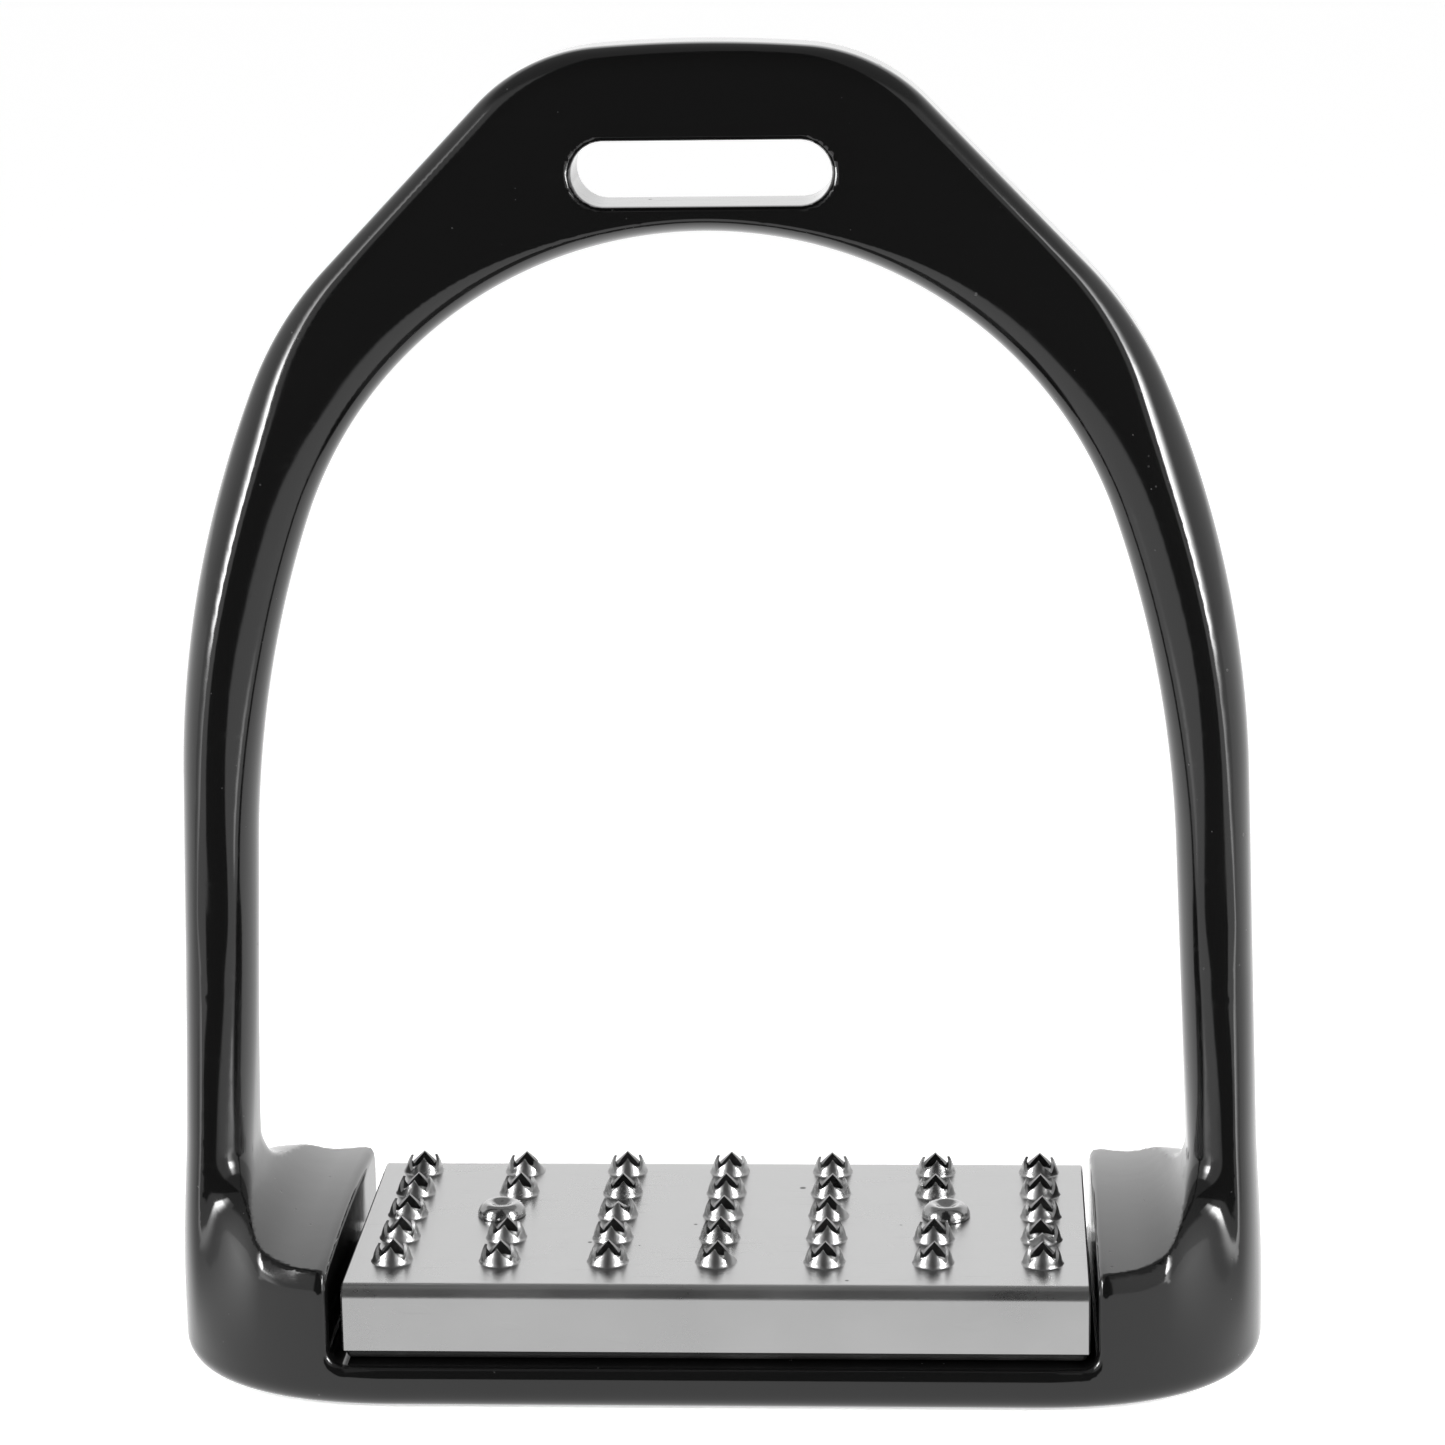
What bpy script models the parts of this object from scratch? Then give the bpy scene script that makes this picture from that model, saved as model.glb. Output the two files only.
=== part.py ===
"""Stirrup iron with a punched metal tread.

A cast arch and footplate in one piece, a folded sheet tread with punched
teeth, a pad that fills the folded sheet, and two rivets that hold the stack.

The origin is the centre of the footplate's flat underside. +Z runs up towards
the leather slot, +X runs across the tread and +Y runs through the arch.
"""

import math

import bmesh
import bpy
from mathutils import Vector

MM = 0.001

# Arch outlines on the mid-plane. Each is a chain that starts level at the top
# centre and turns down the side: (radius, heading in degrees it turns to).
OUTER_TOP_Z = 168.8 * MM
CROWN_RADIUS, CROWN_HEADING = 172.5 * MM, 4.3
CORNER_RADIUS, SLOPE_HEADING = 22.7 * MM, 46.0
SLOPE_LENGTH = 28.0 * MM
HAUNCH_RADIUS, HAUNCH_HEADING = 48.4 * MM, 66.9
SIDE_RADIUS, SIDE_HEADING = 137.8 * MM, 88.3
INNER_TOP_Z = 145.1 * MM
BOW_RADIUS, BOW_HEADING = 53.3 * MM, 71.0
LEG_RADIUS, LEG_HEADING = 146.5 * MM, 87.7
FOOT_FILLET = 7.5 * MM
BOW_CENTRE_Z = INNER_TOP_Z - BOW_RADIUS

# Depth of the arch, front to back, as half depths. The legs flare out towards
# the footplate on a large radius, more at the front, then sweep onto it.
TOP_HALF_DEPTH = 6.0 * MM
LEG_HALF_DEPTH = 7.0 * MM
FLARE_START_Z = 56.0 * MM
FLARE_END_Z = 20.0 * MM
FLARE_RADIUS_FRONT = 105.0 * MM
FLARE_RADIUS_BACK = 300.0 * MM
SWEEP_START_Z = 30.0 * MM
SWEEP_DEPTH = 3.0 * MM

# Section of the arch: each edge is a quarter ellipse, so the legs are ovals and
# the crown is a flat bar with rounded edges. Widths run across the front face.
OUTER_ROLL_CROWN = 3.2 * MM
OUTER_ROLL_HAUNCH = 5.6 * MM
OUTER_ROLL_LEG = 3.6 * MM
OUTER_ROLL_CROWN_DEPTH = 3.4 * MM
INNER_ROLL_CROWN = 3.2 * MM
INNER_ROLL_HAUNCH = 9.3 * MM
INNER_ROLL_LEG = 5.6 * MM
# Heights between which the outer and the inner roll change: leg to haunch,
# then haunch to crown.
OUTER_LEG_Z, OUTER_HAUNCH_Z = 55.0 * MM, 112.0 * MM
OUTER_CROWN_Z = 146.0 * MM
INNER_LEG_Z, INNER_HAUNCH_LOW_Z = 65.0 * MM, 98.0 * MM
INNER_HAUNCH_HIGH_Z, INNER_CROWN_Z = 122.0 * MM, 156.0 * MM
LEAST_FLAT = 0.3 * MM
MOST_ROLL_SHARE = 0.92

# Footplate.
FOOT_LENGTH = 140.0 * MM
FOOT_DEPTH = 52.0 * MM
FOOT_STRAIGHT = 80.0 * MM
FOOT_END_POWER = 2.25
SHOULDER_Z = 19.2 * MM
CREASE_Z = 17.9 * MM
CREASE_INSET = 2.6 * MM
ROLL_RADIUS = 6.0 * MM
BOTTOM_RADIUS = 3.0 * MM
RECESS_LENGTH = 96.6 * MM
RECESS_FLOOR_Z = 5.6 * MM
RECESS_RADIUS = 2.0 * MM

# Leather slot.
SLOT_LENGTH = 32.0 * MM
SLOT_HEIGHT = 8.0 * MM
SLOT_Z = 153.0 * MM
SLOT_RIM = 1.4 * MM

# Folded tread and its teeth.
TREAD_WIDTH = 94.0 * MM
TREAD_DEPTH = 48.4 * MM
TREAD_TOP_Z = 16.0 * MM
TREAD_BOTTOM_Z = 7.3 * MM
TREAD_SHIFT_X = 0.4 * MM
SHEET = 1.0 * MM
BEND_RADIUS = 1.7 * MM
TOOTH_PITCH_X = 13.78 * MM
TOOTH_PITCH_Y = 8.6 * MM
TOOTH_COLUMNS = 7
TOOTH_ROWS = 5
GRID_SHIFT_X = -0.2 * MM
GRID_SHIFT_Y = 2.5 * MM
TOOTH_BASE_RADIUS = 2.75 * MM
TOOTH_HEIGHT = 2.4 * MM
TOOTH_NOTCH_HEIGHT = 0.9 * MM
TOOTH_WALL = 0.45 * MM
TOOTH_HOLE_RADIUS = 1.45 * MM
TOOTH_SEGMENTS = 8
PETAL_LEAN, NOTCH_LEAN = 0.62, 0.85
HOLE_MARGIN = 0.25 * MM

# Rivets, which take the place of two teeth in the middle row.
RIVET_COLUMN = 2
RIVET_OUTSET = 1.5 * MM
RIVET_SHANK_RADIUS = 2.1 * MM
RIVET_HOLE_RADIUS = 2.5 * MM
RIVET_HEAD_RADIUS = 3.15 * MM
RIVET_HEAD_HEIGHT = 1.5 * MM
RIVET_TAIL_RADIUS = 3.3 * MM
RIVET_TAIL_TAPER = 0.8
# The head's profile, from its dished centre out to its edge, as shares of its
# radius and height.
RIVET_HEAD_PROFILE = ((0.25, 0.62), (0.5, 0.95), (0.62, 1.0), (0.85, 0.72), (1.0, 0.2))
COUNTERBORE_RADIUS = 4.2 * MM
COUNTERBORE_DEPTH = 2.2 * MM

# Clearance between neighbouring pieces, and how far a cutter or a buried part
# reaches past the surface it meets.
GAP = 0.3 * MM
OVERLAP = 0.5 * MM
CUT_PAST = 2.0 * MM

LEG_STEP_COUNT = 14
BOW_STEP_COUNT = 18
ROLL_DEGREES = (0, 20, 38, 55, 72, 90)
ROUND_SEGMENTS = 24


def clear_scene():
    for obj in list(bpy.data.objects):
        bpy.data.objects.remove(obj, do_unlink=True)


def make_material(name, colour, roughness, metallic):
    material = bpy.data.materials.new(name)
    material.use_nodes = True
    shader = material.node_tree.nodes["Principled BSDF"]
    shader.inputs["Base Color"].default_value = (*colour, 1.0)
    shader.inputs["Roughness"].default_value = roughness
    shader.inputs["Metallic"].default_value = metallic
    return material


def make_object(name, bm, material=None):
    """A mesh object from a bmesh, with its faces turned outwards."""
    bmesh.ops.recalc_face_normals(bm, faces=bm.faces)
    mesh = bpy.data.meshes.new(name)
    bm.to_mesh(mesh)
    bm.free()
    obj = bpy.data.objects.new(name, mesh)
    bpy.context.scene.collection.objects.link(obj)
    if material:
        mesh.materials.append(material)
        mesh.shade_smooth()
        mesh.set_sharp_from_angle(angle=math.radians(30))
    return obj


def make_helper(name, bm):
    obj = make_object(name, bm)
    obj.hide_render = True
    obj.display_type = "WIRE"
    return obj


def combine(obj, other, operation):
    modifier = obj.modifiers.new(f"{operation.lower()} {other.name}", "BOOLEAN")
    modifier.operation = operation
    modifier.solver = "EXACT"
    modifier.object = other


def skin_rings(bm, rings):
    """Joins closed rings of equal length with quads and caps both ends."""
    loops = [[bm.verts.new(point) for point in ring] for ring in rings]
    count = len(loops[0])
    for low, high in zip(loops, loops[1:]):
        for i in range(count):
            j = (i + 1) % count
            bm.faces.new((low[i], low[j], high[j], high[i]))
    bm.faces.new(loops[0])
    bm.faces.new(loops[-1])


def circle(radius, z, segments=ROUND_SEGMENTS):
    turns = [math.tau * i / segments for i in range(segments)]
    return [Vector((radius * math.cos(t), radius * math.sin(t), z)) for t in turns]


def shifted(ring, x=0.0, y=0.0):
    return [point + Vector((x, y, 0.0)) for point in ring]


# ---------------------------------------------------------------- arch


def chain(top_z, moves, end_z):
    """Points down one side of an outline made of tangent arcs and lines."""
    steps = 12
    x, z, heading = 0.0, top_z, 0.0
    points = [Vector((x, z))]
    for radius, turn_to in moves:
        if turn_to is None:
            x += radius * math.cos(heading)
            z -= radius * math.sin(heading)
            points.append(Vector((x, z)))
            continue
        start, end = heading, math.radians(turn_to)
        centre = Vector((x - radius * math.sin(start), z - radius * math.cos(start)))
        for step in range(1, steps + 1):
            heading = start + (end - start) * step / steps
            offset = Vector((math.sin(heading), math.cos(heading))) * radius
            points.append(centre + offset)
        x, z = points[-1]
    run = (z - end_z) / math.tan(heading)
    points.append(Vector((x + run, end_z)))
    return points


def outer_outline():
    moves = (
        (CROWN_RADIUS, CROWN_HEADING),
        (CORNER_RADIUS, SLOPE_HEADING),
        (SLOPE_LENGTH, None),
        (HAUNCH_RADIUS, HAUNCH_HEADING),
        (SIDE_RADIUS, SIDE_HEADING),
    )
    return chain(OUTER_TOP_Z, moves, CREASE_Z / 2)


def inner_outline():
    """Down the inside of the leg, then round the fillet onto the shoulder."""
    moves = ((BOW_RADIUS, BOW_HEADING), (LEG_RADIUS, LEG_HEADING))
    fillet_z = SHOULDER_Z + FOOT_FILLET
    points = chain(INNER_TOP_Z, moves, fillet_z)
    leg_x = points[-1].x
    for degrees in (15, 30, 45, 60, 75):
        turn = math.radians(degrees)
        x = leg_x - FOOT_FILLET * (1 - math.cos(turn))
        z = fillet_z - FOOT_FILLET * math.sin(turn)
        points.append(Vector((x, z)))
    points.append(Vector((points[-1].x, 0.0)))
    return points


def crossing(outline, origin, direction):
    """Distance from origin along direction to the outline."""
    normal = Vector((-direction.y, direction.x))
    for start, end in zip(outline, outline[1:]):
        a = (start - origin).dot(normal)
        b = (end - origin).dot(normal)
        if a * b <= 0.0 and a != b:
            reach = (start.lerp(end, a / (a - b)) - origin).dot(direction)
            if reach > 0.0:
                return reach
    raise ValueError("the ray misses the outline")


def eased(low, high, value):
    """0 below low, 1 above high and a smooth ramp between."""
    share = min(max((value - low) / (high - low), 0.0), 1.0)
    return share * share * (3.0 - 2.0 * share)


def between(first, second, share):
    return first + (second - first) * share


def half_depth(z, flare_radius):
    """Half the arch's depth: thin at the top, flared out onto the footplate."""
    top = eased(BOW_CENTRE_Z, OUTER_TOP_Z, z)
    depth = between(LEG_HALF_DEPTH, TOP_HALF_DEPTH, top)
    flare = max(FLARE_START_Z - max(z, FLARE_END_Z), 0.0) ** 2 / (2 * flare_radius)
    drop = min(max((SWEEP_START_Z - z) / (SWEEP_START_Z - CREASE_Z), 0.0), 1.0)
    sweep = 1.0 - math.sqrt(1.0 - drop * drop)
    return depth + flare + SWEEP_DEPTH * sweep


def edge_rolls(z, depth):
    """Width and depth of the outer and the inner edge rolls at a height."""
    crown = eased(OUTER_HAUNCH_Z, OUTER_CROWN_Z, z)
    haunch = eased(OUTER_LEG_Z, OUTER_HAUNCH_Z, z)
    outer_width = between(OUTER_ROLL_LEG, OUTER_ROLL_HAUNCH, haunch)
    outer_width = between(outer_width, OUTER_ROLL_CROWN, crown)
    outer_depth = between(LEG_HALF_DEPTH, OUTER_ROLL_CROWN_DEPTH, crown)
    haunch = eased(INNER_LEG_Z, INNER_HAUNCH_LOW_Z, z)
    inner_width = between(INNER_ROLL_LEG, INNER_ROLL_HAUNCH, haunch)
    crown = eased(INNER_HAUNCH_HIGH_Z, INNER_CROWN_Z, z)
    inner_width = between(inner_width, INNER_ROLL_CROWN, crown)
    return (outer_width, outer_depth), (inner_width, depth)


def quarter_roll(width, roll_depth, depth):
    """An edge roll as (inset from the edge, depth), from the side face up to the front."""
    roll_depth = min(roll_depth, MOST_ROLL_SHARE * depth)
    points = [(0.0, 0.0)]
    for degrees in ROLL_DEGREES:
        turn = math.radians(degrees)
        inset = width * (1 - math.cos(turn))
        points.append((inset, depth - roll_depth * (1 - math.sin(turn))))
    return points


def section(thickness, depth, z):
    """Half of the arch's section, front side: (distance from inside, depth)."""
    (outer_width, outer_depth), (inner_width, inner_depth) = edge_rolls(z, depth)
    fit = min((thickness - LEAST_FLAT) / (outer_width + inner_width), 1.0)
    inner = quarter_roll(inner_width * fit, inner_depth, depth)
    outer = quarter_roll(outer_width * fit, outer_depth, depth)
    return inner + [(thickness - inset, along) for inset, along in reversed(outer)]


def arch_ring(origin, direction, outer, inner):
    start = crossing(inner, origin, direction)
    thickness = crossing(outer, origin, direction) - start
    z = (origin + direction * (start + thickness / 2)).y
    front = section(thickness, half_depth(z, FLARE_RADIUS_FRONT), z)
    back = section(thickness, half_depth(z, FLARE_RADIUS_BACK), z)
    back = [(inset, -depth) for inset, depth in back[-2:0:-1]]
    ring = []
    for inset, depth in front + back:
        place = origin + direction * (start + inset)
        ring.append(Vector((place.x, -depth, place.y)))
    return ring


def arch_mesh():
    """Rings fan out round the bow and step level down each leg."""
    outer, inner = outer_outline(), inner_outline()
    side = []
    bow_centre = Vector((0.0, BOW_CENTRE_Z))
    for step in range(BOW_STEP_COUNT):
        turn = math.pi / 2 * step / BOW_STEP_COUNT
        direction = Vector((math.sin(turn), math.cos(turn)))
        side.append(arch_ring(bow_centre, direction, outer, inner))
    foot_z = SHOULDER_Z + OVERLAP
    for step in range(LEG_STEP_COUNT + 1):
        share = math.sin(math.pi / 2 * step / LEG_STEP_COUNT)
        z = BOW_CENTRE_Z + (foot_z - BOW_CENTRE_Z) * share
        side.append(arch_ring(Vector((0.0, z)), Vector((1.0, 0.0)), outer, inner))
    buried = [Vector((p.x, p.y, CREASE_Z - ROLL_RADIUS)) for p in side[-1]]
    side.append(buried)
    mirror = [[Vector((-p.x, p.y, p.z)) for p in ring] for ring in side[:0:-1]]
    bm = bmesh.new()
    skin_rings(bm, mirror + side)
    return bm


# ----------------------------------------------------------- footplate


def plan_ring(inset, z):
    """The footplate's plan: straight sides with full, rounded ends."""
    end = FOOT_LENGTH / 2 - FOOT_STRAIGHT / 2 - inset
    side = FOOT_DEPTH / 2 - inset
    power = 2.0 / FOOT_END_POWER
    quarter = []
    for step in range(10):
        turn = math.pi / 2 * step / 9
        x = FOOT_STRAIGHT / 2 + end * math.cos(turn) ** power
        quarter.append((x, side * math.sin(turn) ** power))
    left = [(-x, y) for x, y in reversed(quarter)]
    half = quarter + left
    other = [(x, -y) for x, y in reversed(half) if y > 0.0]
    return [Vector((x, y, z)) for x, y in half + other]


def footplate_mesh():
    rings = []
    for degrees in (90, 60, 30, 0):
        turn = math.radians(degrees)
        inset = BOTTOM_RADIUS * (1 - math.cos(turn))
        rings.append(plan_ring(inset, BOTTOM_RADIUS * (1 - math.sin(turn))))
    crease_turn = math.acos(1 - CREASE_INSET / ROLL_RADIUS)
    roll_z = CREASE_Z - ROLL_RADIUS * math.sin(crease_turn)
    for step in range(5):
        turn = crease_turn * step / 4
        inset = ROLL_RADIUS * (1 - math.cos(turn))
        rings.append(plan_ring(inset, roll_z + ROLL_RADIUS * math.sin(turn)))
    half = FOOT_DEPTH / 2 - CREASE_INSET
    for share in (0.75, 0.5, 0.25):
        z = SHOULDER_Z - (SHOULDER_Z - CREASE_Z) * share * share
        rings.append(plan_ring(FOOT_DEPTH / 2 - half * share, z))
    bm = bmesh.new()
    skin_rings(bm, rings)
    return bm


def recess_cutter():
    """A channel through the footplate, front to back, with rounded corners."""
    half, top, depth = RECESS_LENGTH / 2, 2 * SHOULDER_Z, FOOT_DEPTH
    bm = bmesh.new()
    profile = [(half, top)]
    for degrees in (0, 30, 60, 90):
        turn = math.radians(degrees)
        x = half - RECESS_RADIUS * (1 - math.cos(turn))
        profile.append((x, RECESS_FLOOR_Z + RECESS_RADIUS * (1 - math.sin(turn))))
    profile += [(-x, z) for x, z in reversed(profile)]
    rings = [[Vector((x, y, z)) for x, z in profile] for y in (-depth, depth)]
    skin_rings(bm, rings)
    return make_helper("recess_cutter", bm)


def slot_ring(grow, y):
    radius = SLOT_HEIGHT / 2 + grow
    reach = SLOT_LENGTH / 2 - SLOT_HEIGHT / 2
    ring = []
    for side in (1, -1):
        for step in range(13):
            turn = math.pi / 2 - math.pi * step / 12
            x = side * (reach + radius * math.cos(turn))
            z = SLOT_Z + side * radius * math.sin(turn)
            ring.append(Vector((x, y, z)))
    return ring


def slot_cutter():
    """The slot, widening to a rounded rim at the front and the back."""
    front = []
    for degrees in (90, 60, 30, 0):
        turn = math.radians(degrees)
        grow = SLOT_RIM * (1 - math.cos(turn))
        front.append((grow, TOP_HALF_DEPTH - SLOT_RIM * (1 - math.sin(turn))))
    front.insert(0, (SLOT_RIM, 2 * TOP_HALF_DEPTH))
    levels = [(grow, -y) for grow, y in front]
    levels += [(grow, y) for grow, y in reversed(front)]
    bm = bmesh.new()
    skin_rings(bm, [slot_ring(grow, y) for grow, y in levels])
    return make_helper("slot_cutter", bm)


def rivet_places():
    """The rivets' centres: just outboard of a tooth column, middle row."""
    centre_x = TREAD_SHIFT_X + GRID_SHIFT_X
    offset = RIVET_COLUMN * TOOTH_PITCH_X + RIVET_OUTSET
    return [(centre_x - offset, GRID_SHIFT_Y), (centre_x + offset, GRID_SHIFT_Y)]


def hole_cutter(name, radius, low, high):
    """One plain hole through for each rivet."""
    bm = bmesh.new()
    for x, y in rivet_places():
        skin_rings(bm, [shifted(circle(radius, z), x, y) for z in (low, high)])
    return make_helper(name, bm)


def build_frame():
    material = make_material("gloss_black_coat", (0.008, 0.008, 0.009), 0.12, 0.0)
    frame = make_object("frame", arch_mesh(), material)
    combine(frame, make_helper("footplate", footplate_mesh()), "UNION")
    combine(frame, recess_cutter(), "DIFFERENCE")
    combine(frame, slot_cutter(), "DIFFERENCE")
    below, above = -FOOT_DEPTH, RECESS_FLOOR_Z + CUT_PAST
    holes = hole_cutter("frame_hole_cutter", RIVET_HOLE_RADIUS, below, above)
    combine(frame, holes, "DIFFERENCE")
    bores = hole_cutter("counterbore_cutter", COUNTERBORE_RADIUS, below, COUNTERBORE_DEPTH)
    combine(frame, bores, "DIFFERENCE")


# --------------------------------------------------------------- tread


def folded_sheet_mesh():
    """A channel section, open side down, run along X."""
    outside, inside = [], []
    half = TREAD_DEPTH / 2
    centre_y, centre_z = half - BEND_RADIUS, TREAD_TOP_Z - BEND_RADIUS
    for points, radius in ((outside, BEND_RADIUS), (inside, BEND_RADIUS - SHEET)):
        points.append((centre_y + radius, TREAD_BOTTOM_Z))
        for degrees in (0, 22.5, 45, 67.5, 90):
            turn = math.radians(degrees)
            y = centre_y + radius * math.cos(turn)
            points.append((y, centre_z + radius * math.sin(turn)))
        points += [(-y, z) for y, z in reversed(points)]
    profile = outside + inside[::-1]
    bm = bmesh.new()
    rings = []
    for x in (-TREAD_WIDTH / 2, TREAD_WIDTH / 2):
        rings.append([Vector((x + TREAD_SHIFT_X, y, z)) for y, z in profile])
    skin_rings(bm, rings)
    return bm


def tooth_places():
    """The punched grid, less the two places that the rivets take."""
    places = []
    for column in range(TOOTH_COLUMNS):
        across = column - (TOOTH_COLUMNS - 1) // 2
        for row in range(TOOTH_ROWS):
            back = row - (TOOTH_ROWS - 1) // 2
            if abs(across) == RIVET_COLUMN and back == 0:
                continue
            x = TREAD_SHIFT_X + GRID_SHIFT_X + across * TOOTH_PITCH_X
            places.append((x, GRID_SHIFT_Y + back * TOOTH_PITCH_Y))
    return places


def tooth_rings():
    """A burst collar of four petals: outer wall up, inner wall down."""
    root = TREAD_TOP_Z - SHEET / 2
    rings = [[], [], [], []]
    for i in range(TOOTH_SEGMENTS):
        turn = math.tau * i / TOOTH_SEGMENTS
        spoke = Vector((math.cos(turn), math.sin(turn), 0.0))
        petal = i % 2 == 0
        rise = TOOTH_HEIGHT if petal else TOOTH_NOTCH_HEIGHT
        lean = PETAL_LEAN if petal else NOTCH_LEAN
        lip = TOOTH_BASE_RADIUS * lean
        top = Vector((0.0, 0.0, TREAD_TOP_Z + rise))
        bottom = Vector((0.0, 0.0, root))
        rings[0].append(bottom + spoke * TOOTH_BASE_RADIUS)
        rings[1].append(top + spoke * lip)
        rings[2].append(top + spoke * (lip - TOOTH_WALL))
        rings[3].append(bottom + spoke * (TOOTH_HOLE_RADIUS + HOLE_MARGIN))
    return rings


def teeth_helper():
    """Every tooth as a closed tube with a toothed top edge."""
    bm = bmesh.new()
    for x, y in tooth_places():
        loops = [[bm.verts.new(p) for p in shifted(r, x, y)] for r in tooth_rings()]
        for low, high in zip(loops, loops[1:] + loops[:1]):
            for i in range(TOOTH_SEGMENTS):
                j = (i + 1) % TOOTH_SEGMENTS
                bm.faces.new((low[i], low[j], high[j], high[i]))
    return make_helper("teeth", bm)


def punch_cutter():
    bm = bmesh.new()
    low, high = TREAD_TOP_Z - 2 * SHEET, TREAD_TOP_Z + HOLE_MARGIN
    for x, y in tooth_places():
        levels = [circle(TOOTH_HOLE_RADIUS, z, TOOTH_SEGMENTS) for z in (low, high)]
        skin_rings(bm, [shifted(ring, x, y) for ring in levels])
    return make_helper("punch_cutter", bm)


def build_tread_plate():
    material = make_material("rolled_steel_sheet", (0.62, 0.62, 0.63), 0.28, 1.0)
    plate = make_object("tread_plate", folded_sheet_mesh(), material)
    combine(plate, teeth_helper(), "UNION")
    combine(plate, punch_cutter(), "DIFFERENCE")
    low, high = TREAD_TOP_Z - 3 * SHEET, TREAD_TOP_Z + SHEET
    holes = hole_cutter("plate_hole_cutter", RIVET_HOLE_RADIUS, low, high)
    combine(plate, holes, "DIFFERENCE")


def build_tread_insert():
    """The pad inside the folded sheet: it stands on the recess floor."""
    material = make_material("black_rubber", (0.012, 0.012, 0.012), 0.6, 0.0)
    half_x = TREAD_WIDTH / 2 - GAP
    half_y = TREAD_DEPTH / 2 - SHEET - GAP
    low, high = RECESS_FLOOR_Z + GAP, TREAD_TOP_Z - SHEET - GAP
    chamfer = BEND_RADIUS - SHEET
    profile = [(half_y, low), (half_y, high - chamfer), (half_y - chamfer, high)]
    profile += [(-y, z) for y, z in reversed(profile)]
    rings = []
    for x in (-half_x, half_x):
        rings.append([Vector((x + TREAD_SHIFT_X, y, z)) for y, z in profile])
    bm = bmesh.new()
    skin_rings(bm, rings)
    insert = make_object("tread_insert", bm, material)
    holes = hole_cutter("insert_hole_cutter", RIVET_HOLE_RADIUS, 0.0, TREAD_TOP_Z)
    combine(insert, holes, "DIFFERENCE")


# -------------------------------------------------------------- rivets


def build_rivet(name, place):
    """A round head with a dished centre, a shank and a set tail."""
    material = make_material(f"{name}_steel", (0.55, 0.55, 0.56), 0.22, 1.0)
    seat = TREAD_TOP_Z + GAP
    tail_top = COUNTERBORE_DEPTH - GAP
    tail_bottom = 2 * GAP
    profile = [
        (across * RIVET_HEAD_RADIUS, seat + up * RIVET_HEAD_HEIGHT)
        for across, up in RIVET_HEAD_PROFILE
    ]
    profile += [
        (RIVET_HEAD_RADIUS, seat),
        (RIVET_SHANK_RADIUS, seat),
        (RIVET_SHANK_RADIUS, tail_top),
        (RIVET_TAIL_RADIUS, tail_top),
        (RIVET_TAIL_TAPER * RIVET_TAIL_RADIUS, tail_bottom),
    ]
    bm = bmesh.new()
    skin_rings(bm, [circle(radius, z) for radius, z in profile])
    rivet = make_object(name, bm, material)
    rivet.location = (*place, 0.0)


def main():
    clear_scene()
    build_frame()
    build_tread_plate()
    build_tread_insert()
    for name, place in zip(("rivet_left", "rivet_right"), rivet_places()):
        build_rivet(name, place)


main()
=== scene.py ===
"""Looks for the stirrup iron: a gloss-coated cast frame, a punched steel tread, its pad and two rivets.

The frame is one smooth surface, contoured from a distance-like field: two arch outlines, a footplate
and the cuts in them. The tread, the pad and the rivets are built face by face. Overall sizes come
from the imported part's boxes. Shape code works in millimetres; meshes are written in metres.
"""

import math
import random

import bmesh
import bpy
import numpy as np
from mathutils import Matrix, Vector


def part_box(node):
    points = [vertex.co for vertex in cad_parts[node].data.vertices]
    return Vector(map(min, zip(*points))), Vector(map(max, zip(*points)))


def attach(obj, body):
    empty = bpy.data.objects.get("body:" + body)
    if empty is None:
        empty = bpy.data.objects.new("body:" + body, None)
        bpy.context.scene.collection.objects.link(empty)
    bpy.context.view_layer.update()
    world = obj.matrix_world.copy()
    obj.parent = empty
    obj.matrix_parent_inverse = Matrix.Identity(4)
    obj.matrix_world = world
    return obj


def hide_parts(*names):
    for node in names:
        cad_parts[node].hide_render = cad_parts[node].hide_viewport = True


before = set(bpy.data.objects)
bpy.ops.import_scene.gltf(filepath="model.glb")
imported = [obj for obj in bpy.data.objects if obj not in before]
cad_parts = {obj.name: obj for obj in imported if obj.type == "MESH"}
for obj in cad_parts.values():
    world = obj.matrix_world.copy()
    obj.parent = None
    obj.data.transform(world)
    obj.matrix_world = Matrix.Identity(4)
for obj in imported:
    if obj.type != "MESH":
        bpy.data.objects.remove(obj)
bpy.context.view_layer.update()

MM = 0.001
SEED = 11


def node_box(name):
    """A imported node's lowest and highest corners, in millimetres."""
    low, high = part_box(name)
    return [value / MM for value in low], [value / MM for value in high]


def plan_centre(low, high):
    return (low[0] + high[0]) / 2, (low[1] + high[1]) / 2


FRAME_LOW, FRAME_HIGH = node_box("frame")
PLATE_LOW, PLATE_HIGH = node_box("tread_plate")
PAD_LOW, PAD_HIGH = node_box("tread_insert")
RIVET_BOXES = {name: node_box(name) for name in ("rivet_left", "rivet_right")}

# Arch outlines: tangent arcs and lines from the top centre down the right side. An arc is
# (radius, heading it turns to, in degrees); a straight run is (length, None).
OUTER_TOP = FRAME_HIGH[2]
OUTER_CHAIN = ((172.5, 4.3), (22.7, 46.0), (28.0, None), (48.4, 66.9), (137.8, 88.3))
BOW_RADIUS = 53.3
INNER_TOP = OUTER_TOP - 23.7
INNER_CHAIN = ((BOW_RADIUS, 71.0), (146.5, 87.7))
BOW_CENTRE = INNER_TOP - BOW_RADIUS
FOOT_FILLET = 7.5

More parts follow.
